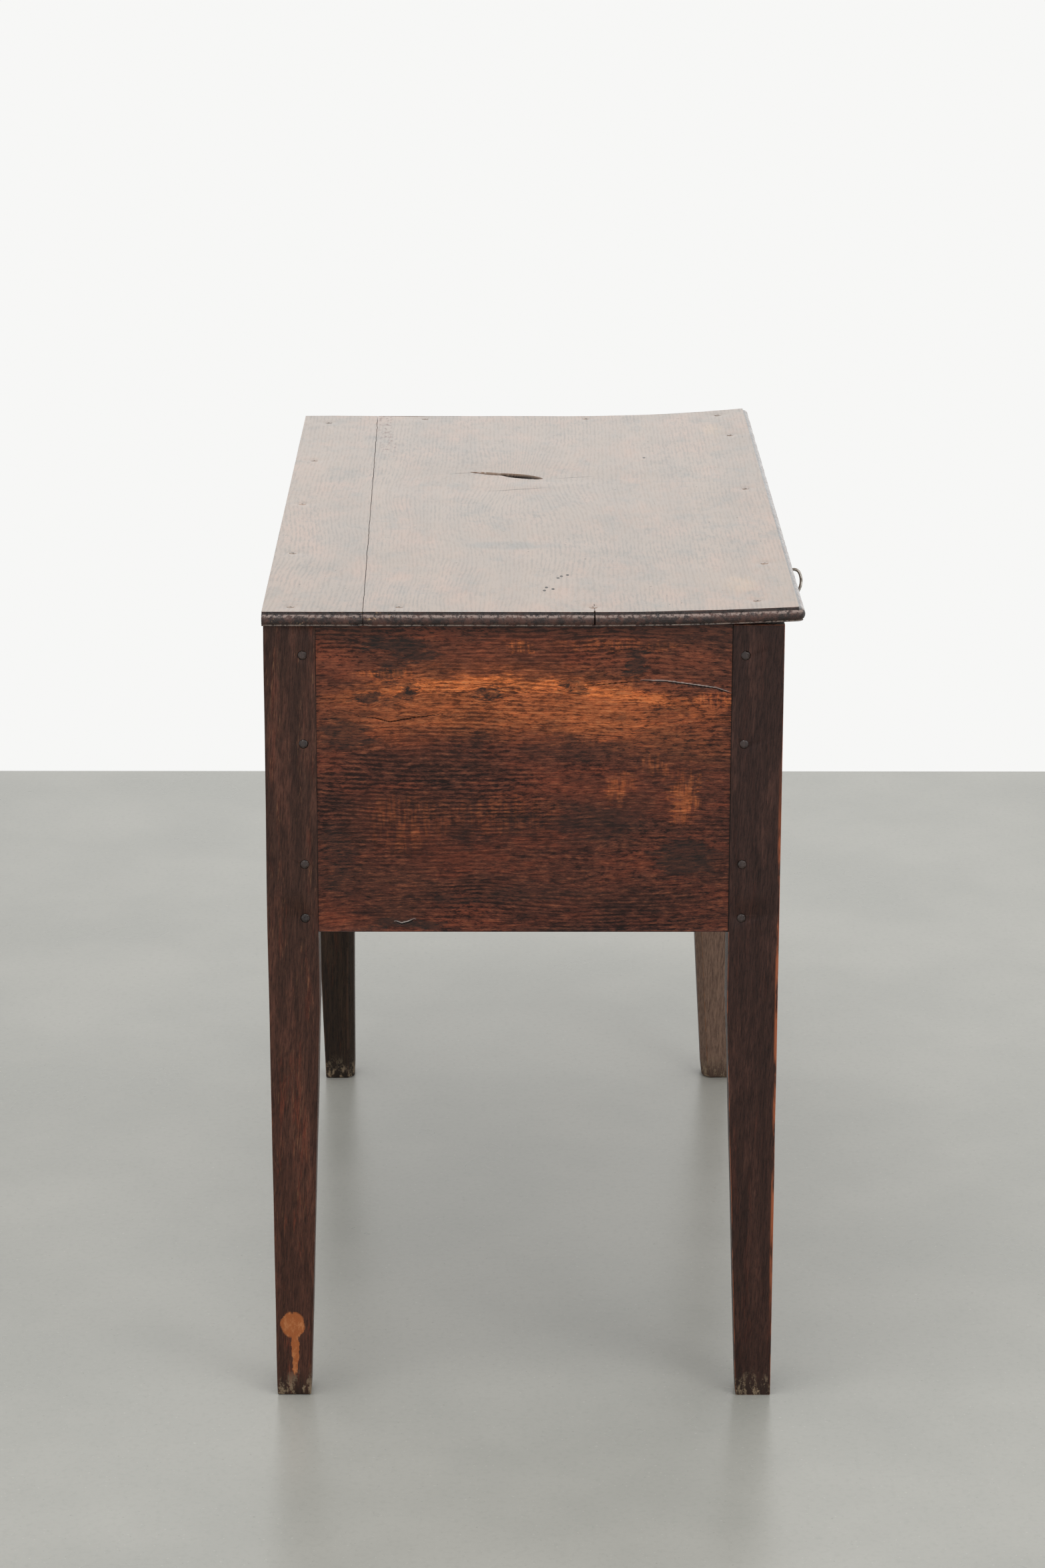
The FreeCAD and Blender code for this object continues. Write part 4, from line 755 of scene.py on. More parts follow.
    # The band marked handled, along the upper part of the nose, is a painted highlight, broken by the
    # bruises
    tone = wood.mix(wood.attribute("handled") * wood.fade(bruises, 0.42, 0.56), tone, EDGE_PAINTED_HIGHLIGHT)
    # The groove over the nose is painted near black: painted shade in the crease under the step
    tone = wood.mix(wood.attribute("groove") * 0.85, tone, GROOVE_SHADE_BLACK)
    # The fillet at the foot of the moulding is painted pale: a painted highlight along its edge
    tone = wood.mix(wood.attribute("rim") * wood.fade(rubbed, 0.4, 0.55), tone, EDGE_RIM_HIGHLIGHT)

    # The hollows of the knot, the split and the peg marks are painted near black: partly their dirty
    # insides, partly painted shade in the recesses; the knot's shallow tail is brown
    hollow = wood.attribute("hollow")
    in_tail = wood.fade(wood.y, *TAIL_ACROSS) * wood.fade(wood.x, *TAIL_ALONG)
    tone = wood.mix(hollow, tone, wood.mix(in_tail, KNOT_SHADE_BLACK, KNOT_TAIL_BROWN))
    height = 1.0 - dashes * 0.5 - fibres * 0.3
    rough = 0.34 + dashes * 0.10 - edge * 0.15 + edge * wood.fade(stained, 0.42, 0.62) * 0.22
    rough = rough + hollow * 0.5
    planed = wood.noise(wood.straight, (5.0, 12.0, 12.0), 2.0, 0.5, (6.0, 1.0, 3.0))
    uneven = wood.bump(planed + bruises * edge * 1.2, TOP_PLANING_DEPTH)
    normal = wood.bump(height, TOP_PORE_DEPTH, 0.7, uneven)
    dull = (edge * left_end).larger(hollow).larger(eaten * 0.5).larger(marks).larger(greyed * 0.14)
    return wood.surface({"Base Color": tone, "Roughness": rough, "Normal": normal,
                         "Specular IOR Level": 0.40, "Coat Weight": 1.0 - dull,
                         "Coat Roughness": 0.28, "Coat IOR": 1.7})


# ---------------------------------------------------------------- metal finishes
def old_metal(name, clean, tarnish, rough, bumps):
    """Hand-worked metal, tarnished in patches."""
    metal = Finish(bpy.data.materials.new(name))
    spot = metal.place()
    patches = metal.noise(spot, (120.0, 120.0, 120.0), 4.0, 0.65)
    pits = metal.noise(spot, (900.0, 900.0, 900.0), 2.0, 0.6)
    mask = metal.fade(patches, 0.38, 0.62)
    tone = metal.mix(mask, clean, tarnish)
    normal = metal.bump(patches * 0.6 + pits * 0.4, bumps)
    return metal.surface({"Base Color": tone, "Metallic": 1.0 - mask * 0.35,
                          "Roughness": rough + mask * 0.2, "Normal": normal})


# ---------------------------------------------------------------- bench work
# Two slots that tell a piece's new rounded faces from the others while it is being worked
WORK_SLOTS = [bpy.data.materials.new(name) for name in ("face", "arris")]


def hold(piece):
    """Makes a piece the only one in hand."""
    if bpy.context.mode != "OBJECT":
        bpy.ops.object.mode_set(mode="OBJECT")
    bpy.ops.object.select_all(action="DESELECT")
    piece.select_set(True)
    bpy.context.view_layer.objects.active = piece


def at_work(piece, kind="VERT", everything=True):
    """Opens the piece for shaping, with everything or nothing picked."""
    hold(piece)
    bpy.ops.object.mode_set(mode="EDIT")
    bpy.ops.mesh.select_mode(type=kind)
    bpy.ops.mesh.select_all(action="SELECT" if everything else "DESELECT")


def put_down():
    bpy.ops.object.mode_set(mode="OBJECT")


def pick(piece, kind, chosen):
    """Opens the piece with only the chosen corners, edges or faces picked."""
    at_work(piece, kind, everything=False)
    put_down()
    parts = {"VERT": piece.data.vertices, "EDGE": piece.data.edges,
             "FACE": piece.data.polygons}[kind]
    parts.foreach_set("select", np.asarray(chosen, bool))
    bpy.ops.object.mode_set(mode="EDIT")


def picked(piece, kind):
    """Which edges or faces are picked."""
    parts = {"EDGE": piece.data.edges, "FACE": piece.data.polygons}[kind]
    flags = np.empty(len(parts), bool)
    parts.foreach_get("select", flags)
    return flags


def corners(piece):
    """The piece's corners as an array."""
    spots = np.empty(len(piece.data.vertices) * 3, np.float32)
    piece.data.vertices.foreach_get("co", spots)
    return spots.reshape(-1, 3).astype(float)


def set_corners(piece, spots):
    piece.data.vertices.foreach_set("co", np.asarray(spots, np.float32).ravel())
    piece.data.update()


def faces_of(piece, field):
    """The middles or the normals of the piece's faces as an array."""
    values = np.empty(len(piece.data.polygons) * 3, np.float32)
    piece.data.polygons.foreach_get(field, values)
    return values.reshape(-1, 3).astype(float)


def edge_ends(piece):
    """The two corners of each edge, by number."""
    ends = np.empty(len(piece.data.edges) * 2, np.int32)
    piece.data.edges.foreach_get("vertices", ends)
    return ends.reshape(-1, 2)


def edge_lengths(piece):
    spots = corners(piece)
    ends = edge_ends(piece)
    return np.linalg.norm(spots[ends[:, 0]] - spots[ends[:, 1]], axis=1)


def sharp_edges(piece):
    """Which edges are sharp."""
    at_work(piece, "EDGE", everything=False)
    bpy.ops.mesh.edges_select_sharp(sharpness=math.radians(SHARP_DEGREES))
    put_down()
    return picked(piece, "EDGE")


def mark(piece, name, values, domain):
    """Keeps a number for each corner or face, which the finish can read."""
    layer = piece.data.attributes.get(name) or piece.data.attributes.new(name, "FLOAT", domain)
    layer.data.foreach_set("value", np.asarray(values, np.float32))


def in_first_slot(piece):
    piece.data.polygons.foreach_set("material_index", [0] * len(piece.data.polygons))


def in_arris_slot(piece):
    """1 for each face that a bevel has made since the slots were last cleared, else 0."""
    return [face.material_index for face in piece.data.polygons]


def saw(piece, normal, places):
    """Cuts the whole piece across at each place along a direction, keeping all of it."""
    at_work(piece)
    for place in places:
        bpy.ops.mesh.select_all(action="SELECT")
        bpy.ops.mesh.bisect(plane_co=Vector(normal) * place, plane_no=normal)
    put_down()


def smooth(piece, degrees=SHARP_DEGREES):
    hold(piece)
    bpy.ops.object.shade_smooth_by_angle(angle=math.radians(degrees))


def copy_of(node):
    """A clean copy of a sub-part, its corners joined and its flat faces whole."""
    piece = bpy.data.objects.new(node + "_worn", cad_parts[node].data.copy())
    bpy.context.scene.collection.objects.link(piece)
    at_work(piece)
    bpy.ops.mesh.remove_doubles(threshold=0.01 * MM)
    bpy.ops.mesh.dissolve_limited(angle_limit=math.radians(0.5))
    put_down()
    return piece


def ease(piece, arris):
    """Rounds the long sharp edges over, and marks the faces that this makes as worn."""
    sharp = sharp_edges(piece)
    piece.data.materials.clear()
    for slot in WORK_SLOTS:
        piece.data.materials.append(slot)
    in_first_slot(piece)
    pick(piece, "EDGE", sharp & (edge_lengths(piece) > SHORTEST_ARRIS))
    bpy.ops.mesh.bevel(offset=arris, segments=2, affect="EDGES", clamp_overlap=True, material=1)
    put_down()
    mark(piece, "worn", in_arris_slot(piece), "FACE")


def dress(piece, finish, body, slot, *nodes):
    """Gives a finished piece its finish and body, and the sub-parts it stands for. Its slot is not used.
    """
    piece.data.materials.clear()
    piece.data.materials.append(finish)
    in_first_slot(piece)
    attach(piece, body)
    if nodes:
        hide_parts(*nodes)


def hand_planed(piece, depth, cells):
    """Moves the corners a little, as a board that was planed by hand."""
    spots = corners(piece)
    low, high = spots.min(0), spots.max(0)
    sway = np.array([[noise.noise(Vector(spot) * cells + Vector((shift, 0, 0)))
                      for shift in (0, 31, 57)] for spot in spots])
    set_corners(piece, np.clip(spots + sway * depth, low, high))


def eased(node, body, finish, slot, arris=BOARD_ARRIS):
    """A sub-part with its arrises worn round and nothing else changed."""
    piece = copy_of(node)
    ease(piece, arris)
    smooth(piece)
    dress(piece, finish, body, slot, node)


# ---------------------------------------------------------------- legs and side boards
def along_line(points, x, y):
    """How far each place is from a line of points, on which side, and the line's taper there."""
    nearest = np.full(len(x), 1.0)
    above = np.zeros(len(x))
    taper = np.zeros(len(x))
    lengths = [(b - a).length for a, b in zip(points, points[1:])]
    for index, (a, b) in enumerate(zip(points, points[1:])):
        run = b - a
        share = np.clip(((x - a.x) * run.x + (y - a.y) * run.y) / run.length_squared, 0, 1)
        off = np.hypot(x - a.x - share * run.x, y - a.y - share * run.y)
        done = (sum(lengths[:index]) + share * lengths[index]) / sum(lengths)
        closer = off < nearest
        nearest = np.where(closer, off, nearest)
        above = np.where(closer, np.sign(y - a.y - share * run.y), above)
        taper = np.where(closer, np.sin(np.clip(done, 0.02, 0.98) * math.pi) ** 0.5, taper)
    return nearest, above, taper


def side_board(node, finish, cracks):
    """A side board planed by hand, with its cracks cut into its outer face."""
    piece = copy_of(node)
    ease(piece, BOARD_ARRIS)
    low, high = corners(piece).min(0), corners(piece).max(0)
    outer = max(low[0], high[0], key=abs)
    saw(piece, (0, 1, 0), np.arange(low[1], high[1], SIDE_CELL)[1:])
    saw(piece, (0, 0, 1), np.arange(low[2], high[2], SIDE_CELL)[1:])
    lines = [([Vector(spot) * MM for spot in points], half * MM) for points, half in cracks]
    for reach, cuts in SIDE_CRACK_CELLS:
        middles = faces_of(piece, "center")
        near = np.zeros(len(middles), bool)
        for points, half in lines:
            near |= along_line(points, middles[:, 1], middles[:, 2])[0] < reach
        pick(piece, "FACE", near & (np.abs(middles[:, 0] - outer) < NEAR))
        bpy.ops.mesh.subdivide(number_cuts=cuts)
        put_down()

    spots = corners(piece)
    on_face = np.abs(spots[:, 0] - outer) < NEAR
    split, lip = np.zeros(len(spots)), np.zeros(len(spots))
    for points, half in lines:
        off, above, taper = along_line(points, spots[:, 1], spots[:, 2])
        inside = np.clip(1.0 - off / (half * taper), 0, 1) * on_face
        split = np.maximum(split, np.minimum(inside * 3, 1))
        # Where the painted glint along a crack's lip goes
        beside = np.clip(1.0 - np.abs(off - LIP_AWAY * half) / (LIP_SPREAD * half), 0, 1)
        lipped = (above > 0) * on_face * (half > LIPPED_HALF_WIDTH)
        lip = np.maximum(lip, beside * taper * lipped)
    sway = np.array([noise.noise(Vector((2.0, y * SIDE_WAVES_ALONG, z * SIDE_WAVES_UP)))
                     for x, y, z in spots])
    depth = on_face * (SIDE_SUNK - SIDE_SUNK * sway) + split * SIDE_CRACK_DEPTH
    spots[:, 0] -= np.sign(outer) * depth
    set_corners(piece, spots)
    mark(piece, "split", split, "POINT")
    mark(piece, "lip", lip * (1 - split), "POINT")
    smooth(piece)
    dress(piece, finish, "root", "side_oak", node)


def leg(node, finish, foot_round):
    """A leg with worn arrises, a ring of painted shade round each peg, and a blunted foot."""
    piece = copy_of(node)
    ease(piece, LEG_ARRIS)
    low, high = corners(piece).min(0), corners(piece).max(0)
    outer = np.where(np.abs(low) > np.abs(high), low, high)
    mark_leg(piece, outer)
    ring_sockets(piece, outer)
    foot_cuts = np.array(FOOT_CUTS) * foot_round
    saw(piece, (0, 0, 1), [*foot_cuts, *np.arange(LEG_CUTS / 2, high[2], LEG_CUTS)])
    hand_planed(piece, LEG_WANDER, LEG_CELLS)
    blunt_foot(piece, foot_round, low, high)
    smooth(piece)
    dress(piece, finish, "root", "leg_oak", node)


def mark_leg(piece, outer):
    """Marks the arrises that show, those shut against a board, and the inner face."""
    worn = in_arris_slot(piece)
    outwards = (faces_of(piece, "normal")[:, :2] * np.sign(outer[:2])).min(1) > -0.1
    inwards = faces_of(piece, "normal")[:, 0] * np.sign(outer[0]) < -0.5
    beside_board = faces_of(piece, "center")[:, 2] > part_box("side_board_left")[0].z
    mark(piece, "worn", worn * (outwards | ~beside_board), "FACE")
    mark(piece, "shut", worn * (~outwards & beside_board), "FACE")
    mark(piece, "inner", inwards & ~beside_board, "FACE")


def ring_sockets(piece, outer):
    """Breaks the rim of each peg's socket, and marks the ring that this makes, which the finish paints
    dark as the shade in the gap.
    """
    in_first_slot(piece)
    rims = sharp_edges(piece) & (edge_lengths(piece) < SOCKET_EDGE)
    spots = corners(piece)[edge_ends(piece)].mean(1)
    on_outside = (np.abs(spots[:, :2] - outer[:2]) < NEAR).any(1)
    pick(piece, "EDGE", rims & on_outside)
    bpy.ops.mesh.bevel(offset=SOCKET_RING, segments=1, affect="EDGES", material=1)
    put_down()
    mark(piece, "socket", in_arris_slot(piece), "FACE")


def blunt_foot(piece, foot_round, low, high):
    """Draws the foot in towards its middle, and keeps its sole on the floor."""
    spots = corners(piece)
    spots[:, 2] = np.clip(spots[:, 2], low[2], high[2])
    sole = spots[spots[:, 2] < NEAR][:, :2]
    middle = (sole.min(0) + sole.max(0)) / 2
    up = np.clip(1.0 - spots[:, 2] / foot_round, 0, 1)
    drawn_in = foot_round * (1.0 - np.sqrt(1.0 - up ** 2)) * FOOT_DRAWN_IN
    from_middle = spots[:, :2] - middle
    furthest = np.maximum(np.abs(from_middle).max(1, keepdims=True), 1 * MM)
    spots[:, :2] -= from_middle / furthest * drawn_in[:, None]
    set_corners(piece, spots)


# ---------------------------------------------------------------- top boards
def share_along(x):
    return (x - TOP_LOW.x) / (TOP_HIGH.x - TOP_LOW.x)


def cup(x, y):
    """How far the front of the wide board has curled up."""
    whole = CUP_LEFT + (CUP_RIGHT - CUP_LEFT) * share_along(x)
    run = np.maximum(0.0, CUP_START - y) / CUP_RUN
    return whole * run * run


def straight_edge(y):
    """An edge along X, as joint_y gives the wavy one."""
    return lambda x: y + 0 * x


@np.vectorize
def joint_y(x):
    """The wide board's edge along the joint, which has grown a little wavy."""
    left = NARROW_LOW.y - BOARD_GAP
    wave = sum(noise.noise(Vector((x * cells, row, layer))) for cells, row, layer in JOINT_CELLS)
    return left + (TOP_HIGH.y - left) * share_along(x) + wave * JOINT_WAVE


def nose_levels():
    """(height over the underside, distance outside the field) down the moulded edge."""
    step = 2 * NOSE_RADIUS
    levels = [(FIELD_TOP - UNDERSIDE - FIELD_ROUND, 0.0), (step + STEP_ROUND, STEP_LEAN),
              (step, STEP_ROUND)]
    for degrees in NOSE_DEGREES:
        angle = math.radians(degrees)
        out = STEP_INSET - NOSE_RADIUS + NOSE_RADIUS * math.cos(angle)
        levels.append((NOSE_RADIUS + NOSE_RADIUS * math.sin(angle), out))
    levels.append((FILLET, levels[-1][1] + FILLET_PROUD))
    levels.append((0.0, levels[-1][1]))
    return levels


def gaussian(distance, width):
    return np.exp(-(distance / width) ** 2)


def knot_hollow(x, y):
    """Depth of the lost knot: a lens with a steep near lip, and a shallow tail."""
    depth = np.zeros_like(x)
    tail_joins = KNOT_BACK.lerp(KNOT_FRONT, KNOT_TAIL_JOINS)
    for a, b, half, deep in ((KNOT_BACK, KNOT_FRONT, KNOT_HALF_WIDTH, KNOT_DEPTH),
                             (KNOT_TAIL, tail_joins, KNOT_TAIL_HALF_WIDTH, KNOT_TAIL_DEPTH)):
        run = b - a
        share = ((x - a.x) * run.x + (y - a.y) * run.y) / run.length_squared
        off = ((x - a.x) * run.y - (y - a.y) * run.x) / run.length
        half_here = half * np.sqrt(np.clip(np.sin(np.clip(share, 0, 1) * math.pi), 1e-6, 1))
        inside = np.clip(1.0 - np.abs(off) / half_here, 0, 1)
        steep = np.clip(inside * KNOT_STEEPNESS, 0, 1)
        depth = np.maximum(depth, np.where((share > 0) & (share < 1), deep * steep ** 0.8, 0))
    return depth


def peg_places(node):
    """The middle of each separate peg in a group, seen from above."""
    spots = corners(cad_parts[node])
    pegs = []
    for x, y, z in spots[spots[:, 2] > UNDERSIDE]:
        near = [peg for peg in pegs if math.hypot(peg[0][0] - x, peg[0][1] - y) < PEG_SPREAD]
        if near:
            near[0].append((x, y))
        else:
            pegs.append([(x, y)])
    return [np.mean([np.min(peg, 0), np.max(peg, 0)], 0) for peg in pegs]


TOP_PEGS = peg_places("top_pegs")


def top_unevenness(spots):
    """How far each corner of the top's face is moved up or down, in metres."""
    x, y = spots[:, 0], spots[:, 1]
    rise = np.full(len(spots), -FACE_SUNK)
    for height, along, across, layer in FACE_WAVES:
        rise += height * np.array([noise.noise(Vector((a * along, b * across, layer)))
                                   for a, b in zip(x, y)])
    for (middle_x, middle_y), (along, across), height in KNOT_WAVES:
        rise += (height * MM * gaussian(x - middle_x * MM, along * MM)
                 * gaussian(y - middle_y * MM, across * MM))
    for peg_x, peg_y in TOP_PEGS:
        rise -= PEG_DENT * gaussian(np.hypot(x - peg_x, y - peg_y), PEG_DENT_REACH)
    return rise - knot_hollow(x, y)


def moulded_board(name, y_front, y_back, moulded_front):
    """A top board: a slab with its ends, and its front if so, worked to the moulding."""
    field_half = TOP_HIGH.x - STEP_INSET
    width = y_back(0.0) - y_front(0.0)
    bpy.ops.object.select_all(action="DESELECT")
    bpy.ops.mesh.primitive_grid_add(x_subdivisions=round(2 * field_half / TOP_CELL),
                                    y_subdivisions=round(width / TOP_CELL), size=1.0)
    piece = bpy.context.active_object
    piece.name = name
    spots = corners(piece)
    x = spots[:, 0] * 2 * field_half
    y = y_front(x) + (spots[:, 1] + 0.5) * (y_back(x) - y_front(x))
    set_corners(piece, np.stack([x, y, np.full_like(x, FIELD_TOP)], 1))
    at_work(piece, "FACE")
    bpy.ops.mesh.extrude_region_move(
        TRANSFORM_OT_translate={"value": (0, 0, UNDERSIDE - FIELD_TOP)})
    bpy.ops.mesh.select_all(action="SELECT")
    bpy.ops.mesh.normals_make_consistent(inside=False)
    put_down()
    if moulded_front:
        round_front_corners(piece, field_half, y_front(0.0))
    saw(piece, (0, 0, 1), [UNDERSIDE + level for level, out in nose_levels()[:-1]])
    push_out_moulding(piece, field_half, y_front(0.0) if moulded_front else None)
    return piece


def round_front_corners(piece, field_half, front):
    """Rounds the two upright edges at the front."""
    spots = corners(piece)
    ends = edge_ends(piece)
    middle = spots[ends].mean(1)
    upright = np.abs(spots[ends[:, 0], 2] - spots[ends[:, 1], 2]) > 5 * MM
    at_corner = (np.abs(middle[:, 0]) > field_half - NEAR) & (middle[:, 1] < front + NEAR)
    pick(piece, "EDGE", upright & at_corner)
    bpy.ops.mesh.bevel(offset=CORNER, segments=5, affect="EDGES")
    put_down()


def push_out_moulding(piece, field_half, front):
    """Moves the ends, and the front if there is one, out to the moulding, and marks it."""
    spots = corners(piece)
    x, y, z = spots.T
    level, out = zip(*sorted(nose_levels()))
    reach = np.interp(z - UNDERSIDE, level, out)
    to_end = field_half - np.abs(x)
    to_front = np.full_like(y, math.inf) if front is None else y - front
    at_end = to_end < HAIR
    at_front = to_front < HAIR
    in_corner = (to_end < CORNER + HAIR) & (to_front < CORNER + HAIR)
    away_x, away_y = CORNER - to_end, np.where(in_corner, CORNER - to_front, 0.0)
    length = np.maximum(np.hypot(away_x, away_y), HAIR)
    on_arc = in_corner & (length > CORNER * 0.9)
    push_x = np.where(on_arc, away_x / length, at_end) * np.sign(x)
    push_y = np.where(on_arc, away_y / length, at_front)
    edge = at_end | at_front | on_arc

    nibble = np.array([sum(noise.noise(Vector(spot) * cells) for cells in NIBBLE_CELLS)
                       for spot in spots])
    reach = reach - np.clip(nibble, 0.0, NIBBLE_MOST) * NIBBLE * (reach > NIBBLED_FROM)
    notch = JOINT_NOTCH * gaussian(y - joint_y(x), JOINT_NOTCH_WIDTH)
    reach = (reach - notch * (reach > NIBBLED_FROM)) * edge
    set_corners(piece, np.stack([x + push_x * reach, y - push_y * reach, z], 1))
    mark(piece, "moulded", edge & (z < FIELD_TOP - 0.2 * MM), "POINT")
    step = UNDERSIDE + 2 * NOSE_RADIUS
    # The groove under the step, which the finish paints near black as shade
    mark(piece, "groove", edge & (z > step - GROOVE_BELOW) & (z < step + GROOVE_ABOVE), "POINT")
    # The band along the nose that the finish paints pale as a highlight
    crown = UNDERSIDE + NOSE_RADIUS * (1.0 + math.sin(math.radians(HIGHLIGHT_DEGREES)))
    mark(piece, "handled", edge * gaussian(z - crown, HIGHLIGHT_WIDTH), "POINT")
    # The fillet at the foot of the moulding, which the finish paints pale as a highlight
    mark(piece, "rim", edge & (np.abs(z - UNDERSIDE - FILLET) < NEAR), "POINT")


def saw_split(piece):
    """Cuts three close lines along the split, so that its middle can sink."""
    for line in (SPLIT_Y - SPLIT_HALF_WIDTH, SPLIT_Y, SPLIT_Y + SPLIT_HALF_WIDTH):
        middles = faces_of(piece, "center")
        beside = (middles[:, 0] < SPLIT_END_X) & (np.abs(middles[:, 1] - SPLIT_Y) < SPLIT_AREA)
        pick(piece, "FACE", beside)
        bpy.ops.mesh.bisect(plane_co=(0, line, 0), plane_no=(0, 1, 0))
        put_down()


def open_split(spots):
    """Sinks the middle line of the split, and gives the corners that are on it."""
    x, y, z = spots.T
    share = np.clip((SPLIT_END_X - x) / (SPLIT_END_X - TOP_LOW.x), 0, 1)
    on_line = (np.abs(y - SPLIT_Y) < SPLIT_LINE) & (share > 0)
    over = z > UNDERSIDE + 1 * MM
    on_face = on_line & (z > FIELD_TOP - SPLIT_FACE)
    spots[:, 2] -= np.where(on_face, SPLIT_SHALLOW + SPLIT_DEEPENS * share, 0.0)
    at_nose = on_line & over & (x < TOP_LOW.x + STEP_INSET + 1 * MM)
    spots[:, 0] += np.where(at_nose, SPLIT_IN_NOSE, 0.0)
    return on_line & over


def refine(piece, near, cuts):
    """Divides the upper faces whose middles are near a place into smaller ones."""
    middles = faces_of(piece, "center")
    upper = faces_of(piece, "normal")[:, 2] > FACING
    pick(piece, "FACE", upper & near(middles[:, 0], middles[:, 1]))
    bpy.ops.mesh.subdivide(number_cuts=cuts)
    put_down()


def near_knot(x, y):
    off_x, off_y = (x - KNOT_AREA.x) / 1.2, (y - KNOT_AREA.y) * 0.8
    return np.hypot(off_x, off_y) < KNOT_AREA_RADIUS


def near_pegs(x, y):
    return np.min([np.hypot(x - a, y - b) for a, b in TOP_PEGS], 0) < PEG_SURROUND


def frame_pegs(finish):
    """The pegs of the frame, their heads rubbed round."""
    piece = copy_of("frame_pegs")
    middles, normals = faces_of(piece, "center"), faces_of(piece, "normal")
    outside = (np.abs(middles[:, 0]) > TOP_HIGH.x - HEAD_FROM_END) & (np.abs(normals[:, 0]) > FACING)
    outside |= (middles[:, 1] < FRONT_LEG_LOW.y) & (normals[:, 1] < -FACING)
    outside |= (middles[:, 1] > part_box("leg_back_left")[1].y) & (normals[:, 1] > FACING)
    pick(piece, "FACE", outside)
    for rise in HEAD_RISES:
        bpy.ops.mesh.inset(thickness=HEAD_INSET, depth=rise, use_individual=True)
    put_down()
    low, high = built_box
    set_corners(piece, np.clip(corners(piece), low, high))
    smooth(piece, 60)
    dress(piece, finish, "root", "peg_oak", "frame_pegs")


def top_pegs(finish):
    """The pegs through the top: low domes, each with a small sunk mark in its middle, painted dark
    partly as shade.
    """
    piece = copy_of("top_pegs")
    middles, normals = faces_of(piece, "center"), faces_of(piece, "normal")
    pick(piece, "FACE", (middles[:, 2] > UNDERSIDE) & (normals[:, 2] > FACING))
    bpy.ops.mesh.inset(thickness=PEG_MARK_INSET, depth=-PEG_MARK_DEPTH, use_individual=True)
    put_down()
    mark(piece, "hollow", picked(piece, "FACE"), "FACE")
    spots = corners(piece)
    for middle in TOP_PEGS:
        own = (np.hypot(*(spots[:, :2] - middle).T) < PEG_REACH) & (spots[:, 2] > UNDERSIDE)
        rise = spots[:, 2] - spots[own, 2].max() + PEG_PROUD
        place = np.array([[*middle, 0.0]])
        surface = FIELD_TOP + top_unevenness(place) + cup(*place[0, :2])
        head = own & (rise > -PEG_HEAD)
        spots[head, 2] = surface + rise[head] * PEG_LOWERED
    set_corners(piece, spots)
    smooth(piece)
    dress(piece, finish, "root", "peg_oak", "top_pegs")


def top_boards(finish):
    """The wide board with its knot and split, and the narrow board behind it."""
    wide = moulded_board("wide_board_of_top", straight_edge(TOP_LOW.y + STEP_INSET), joint_y, True)
    narrow = moulded_board("narrow_board_of_top", lambda x: joint_y(x) + BOARD_GAP,
                           straight_edge(NARROW_HIGH.y), False)
    refine(wide, near_knot, 4)
    saw_split(wide)
    for piece, node in ((wide, "top_board_wide"), (narrow, "top_board_narrow")):
        refine(piece, near_pegs, 2)
        spots = corners(piece)
        on_face = spots[:, 2] > FIELD_TOP - 0.01 * MM
        spots[:, 2] += np.where(on_face, top_unevenness(spots), 0.0)
        hollow = np.clip(knot_hollow(spots[:, 0], spots[:, 1]) * on_face / KNOT_TAIL_DEPTH, 0, 1)
        if piece is wide:
            hollow = np.maximum(hollow, open_split(spots))
        mark(piece, "hollow", hollow, "POINT")
        spots[:, 2] += cup(spots[:, 0], spots[:, 1])
        set_corners(piece, spots)
        smooth(piece, 40)
        dress(piece, finish, "root", "top_oak", node)


# ---------------------------------------------------------------- floor, light and camera
FLOOR_SIZE = 3.26
FLOOR_GREY = (0.385, 0.385, 0.35)
FLOOR_PALE = (0.45, 0.445, 0.405)
FLOOR_DUST = (0.2, 0.2, 0.18)
GRIT_PALE = (0.62, 0.61, 0.56)
GRIT_DARK = (0.18, 0.17, 0.15)
# The surroundings' light, and what is seen behind the table
ROOM_LIGHT = (0.80, 0.80, 0.80)
BACKDROP = (0.93, 0.93, 0.92)
# Lamps: name, place, what it points at, size and power
LAMPS = (("overhead", (-0.7, 0.3, 3.0), (0.0, 0.0, 0.4), 0.9, 15.0),
         ("beside", (-2.6, -2.2, 2.3), (0.0, 0.0, 0.4), 1.3, 21.0),
         ("behind", (3.2, -0.3, 2.1), (0.0, 0.0, 0.7), 2.6, 3.5))
# Camera: lens and film width in mm, place, and its turns in degrees
LENS = 98.0
FILM_WIDTH = 36.0
CAMERA_PLACE = (-3.9527, 0.04596, 1.5662)
CAMERA_HEADING = -90.365
CAMERA_DOWN = 15.843
CAMERA_ROLL = 0.134


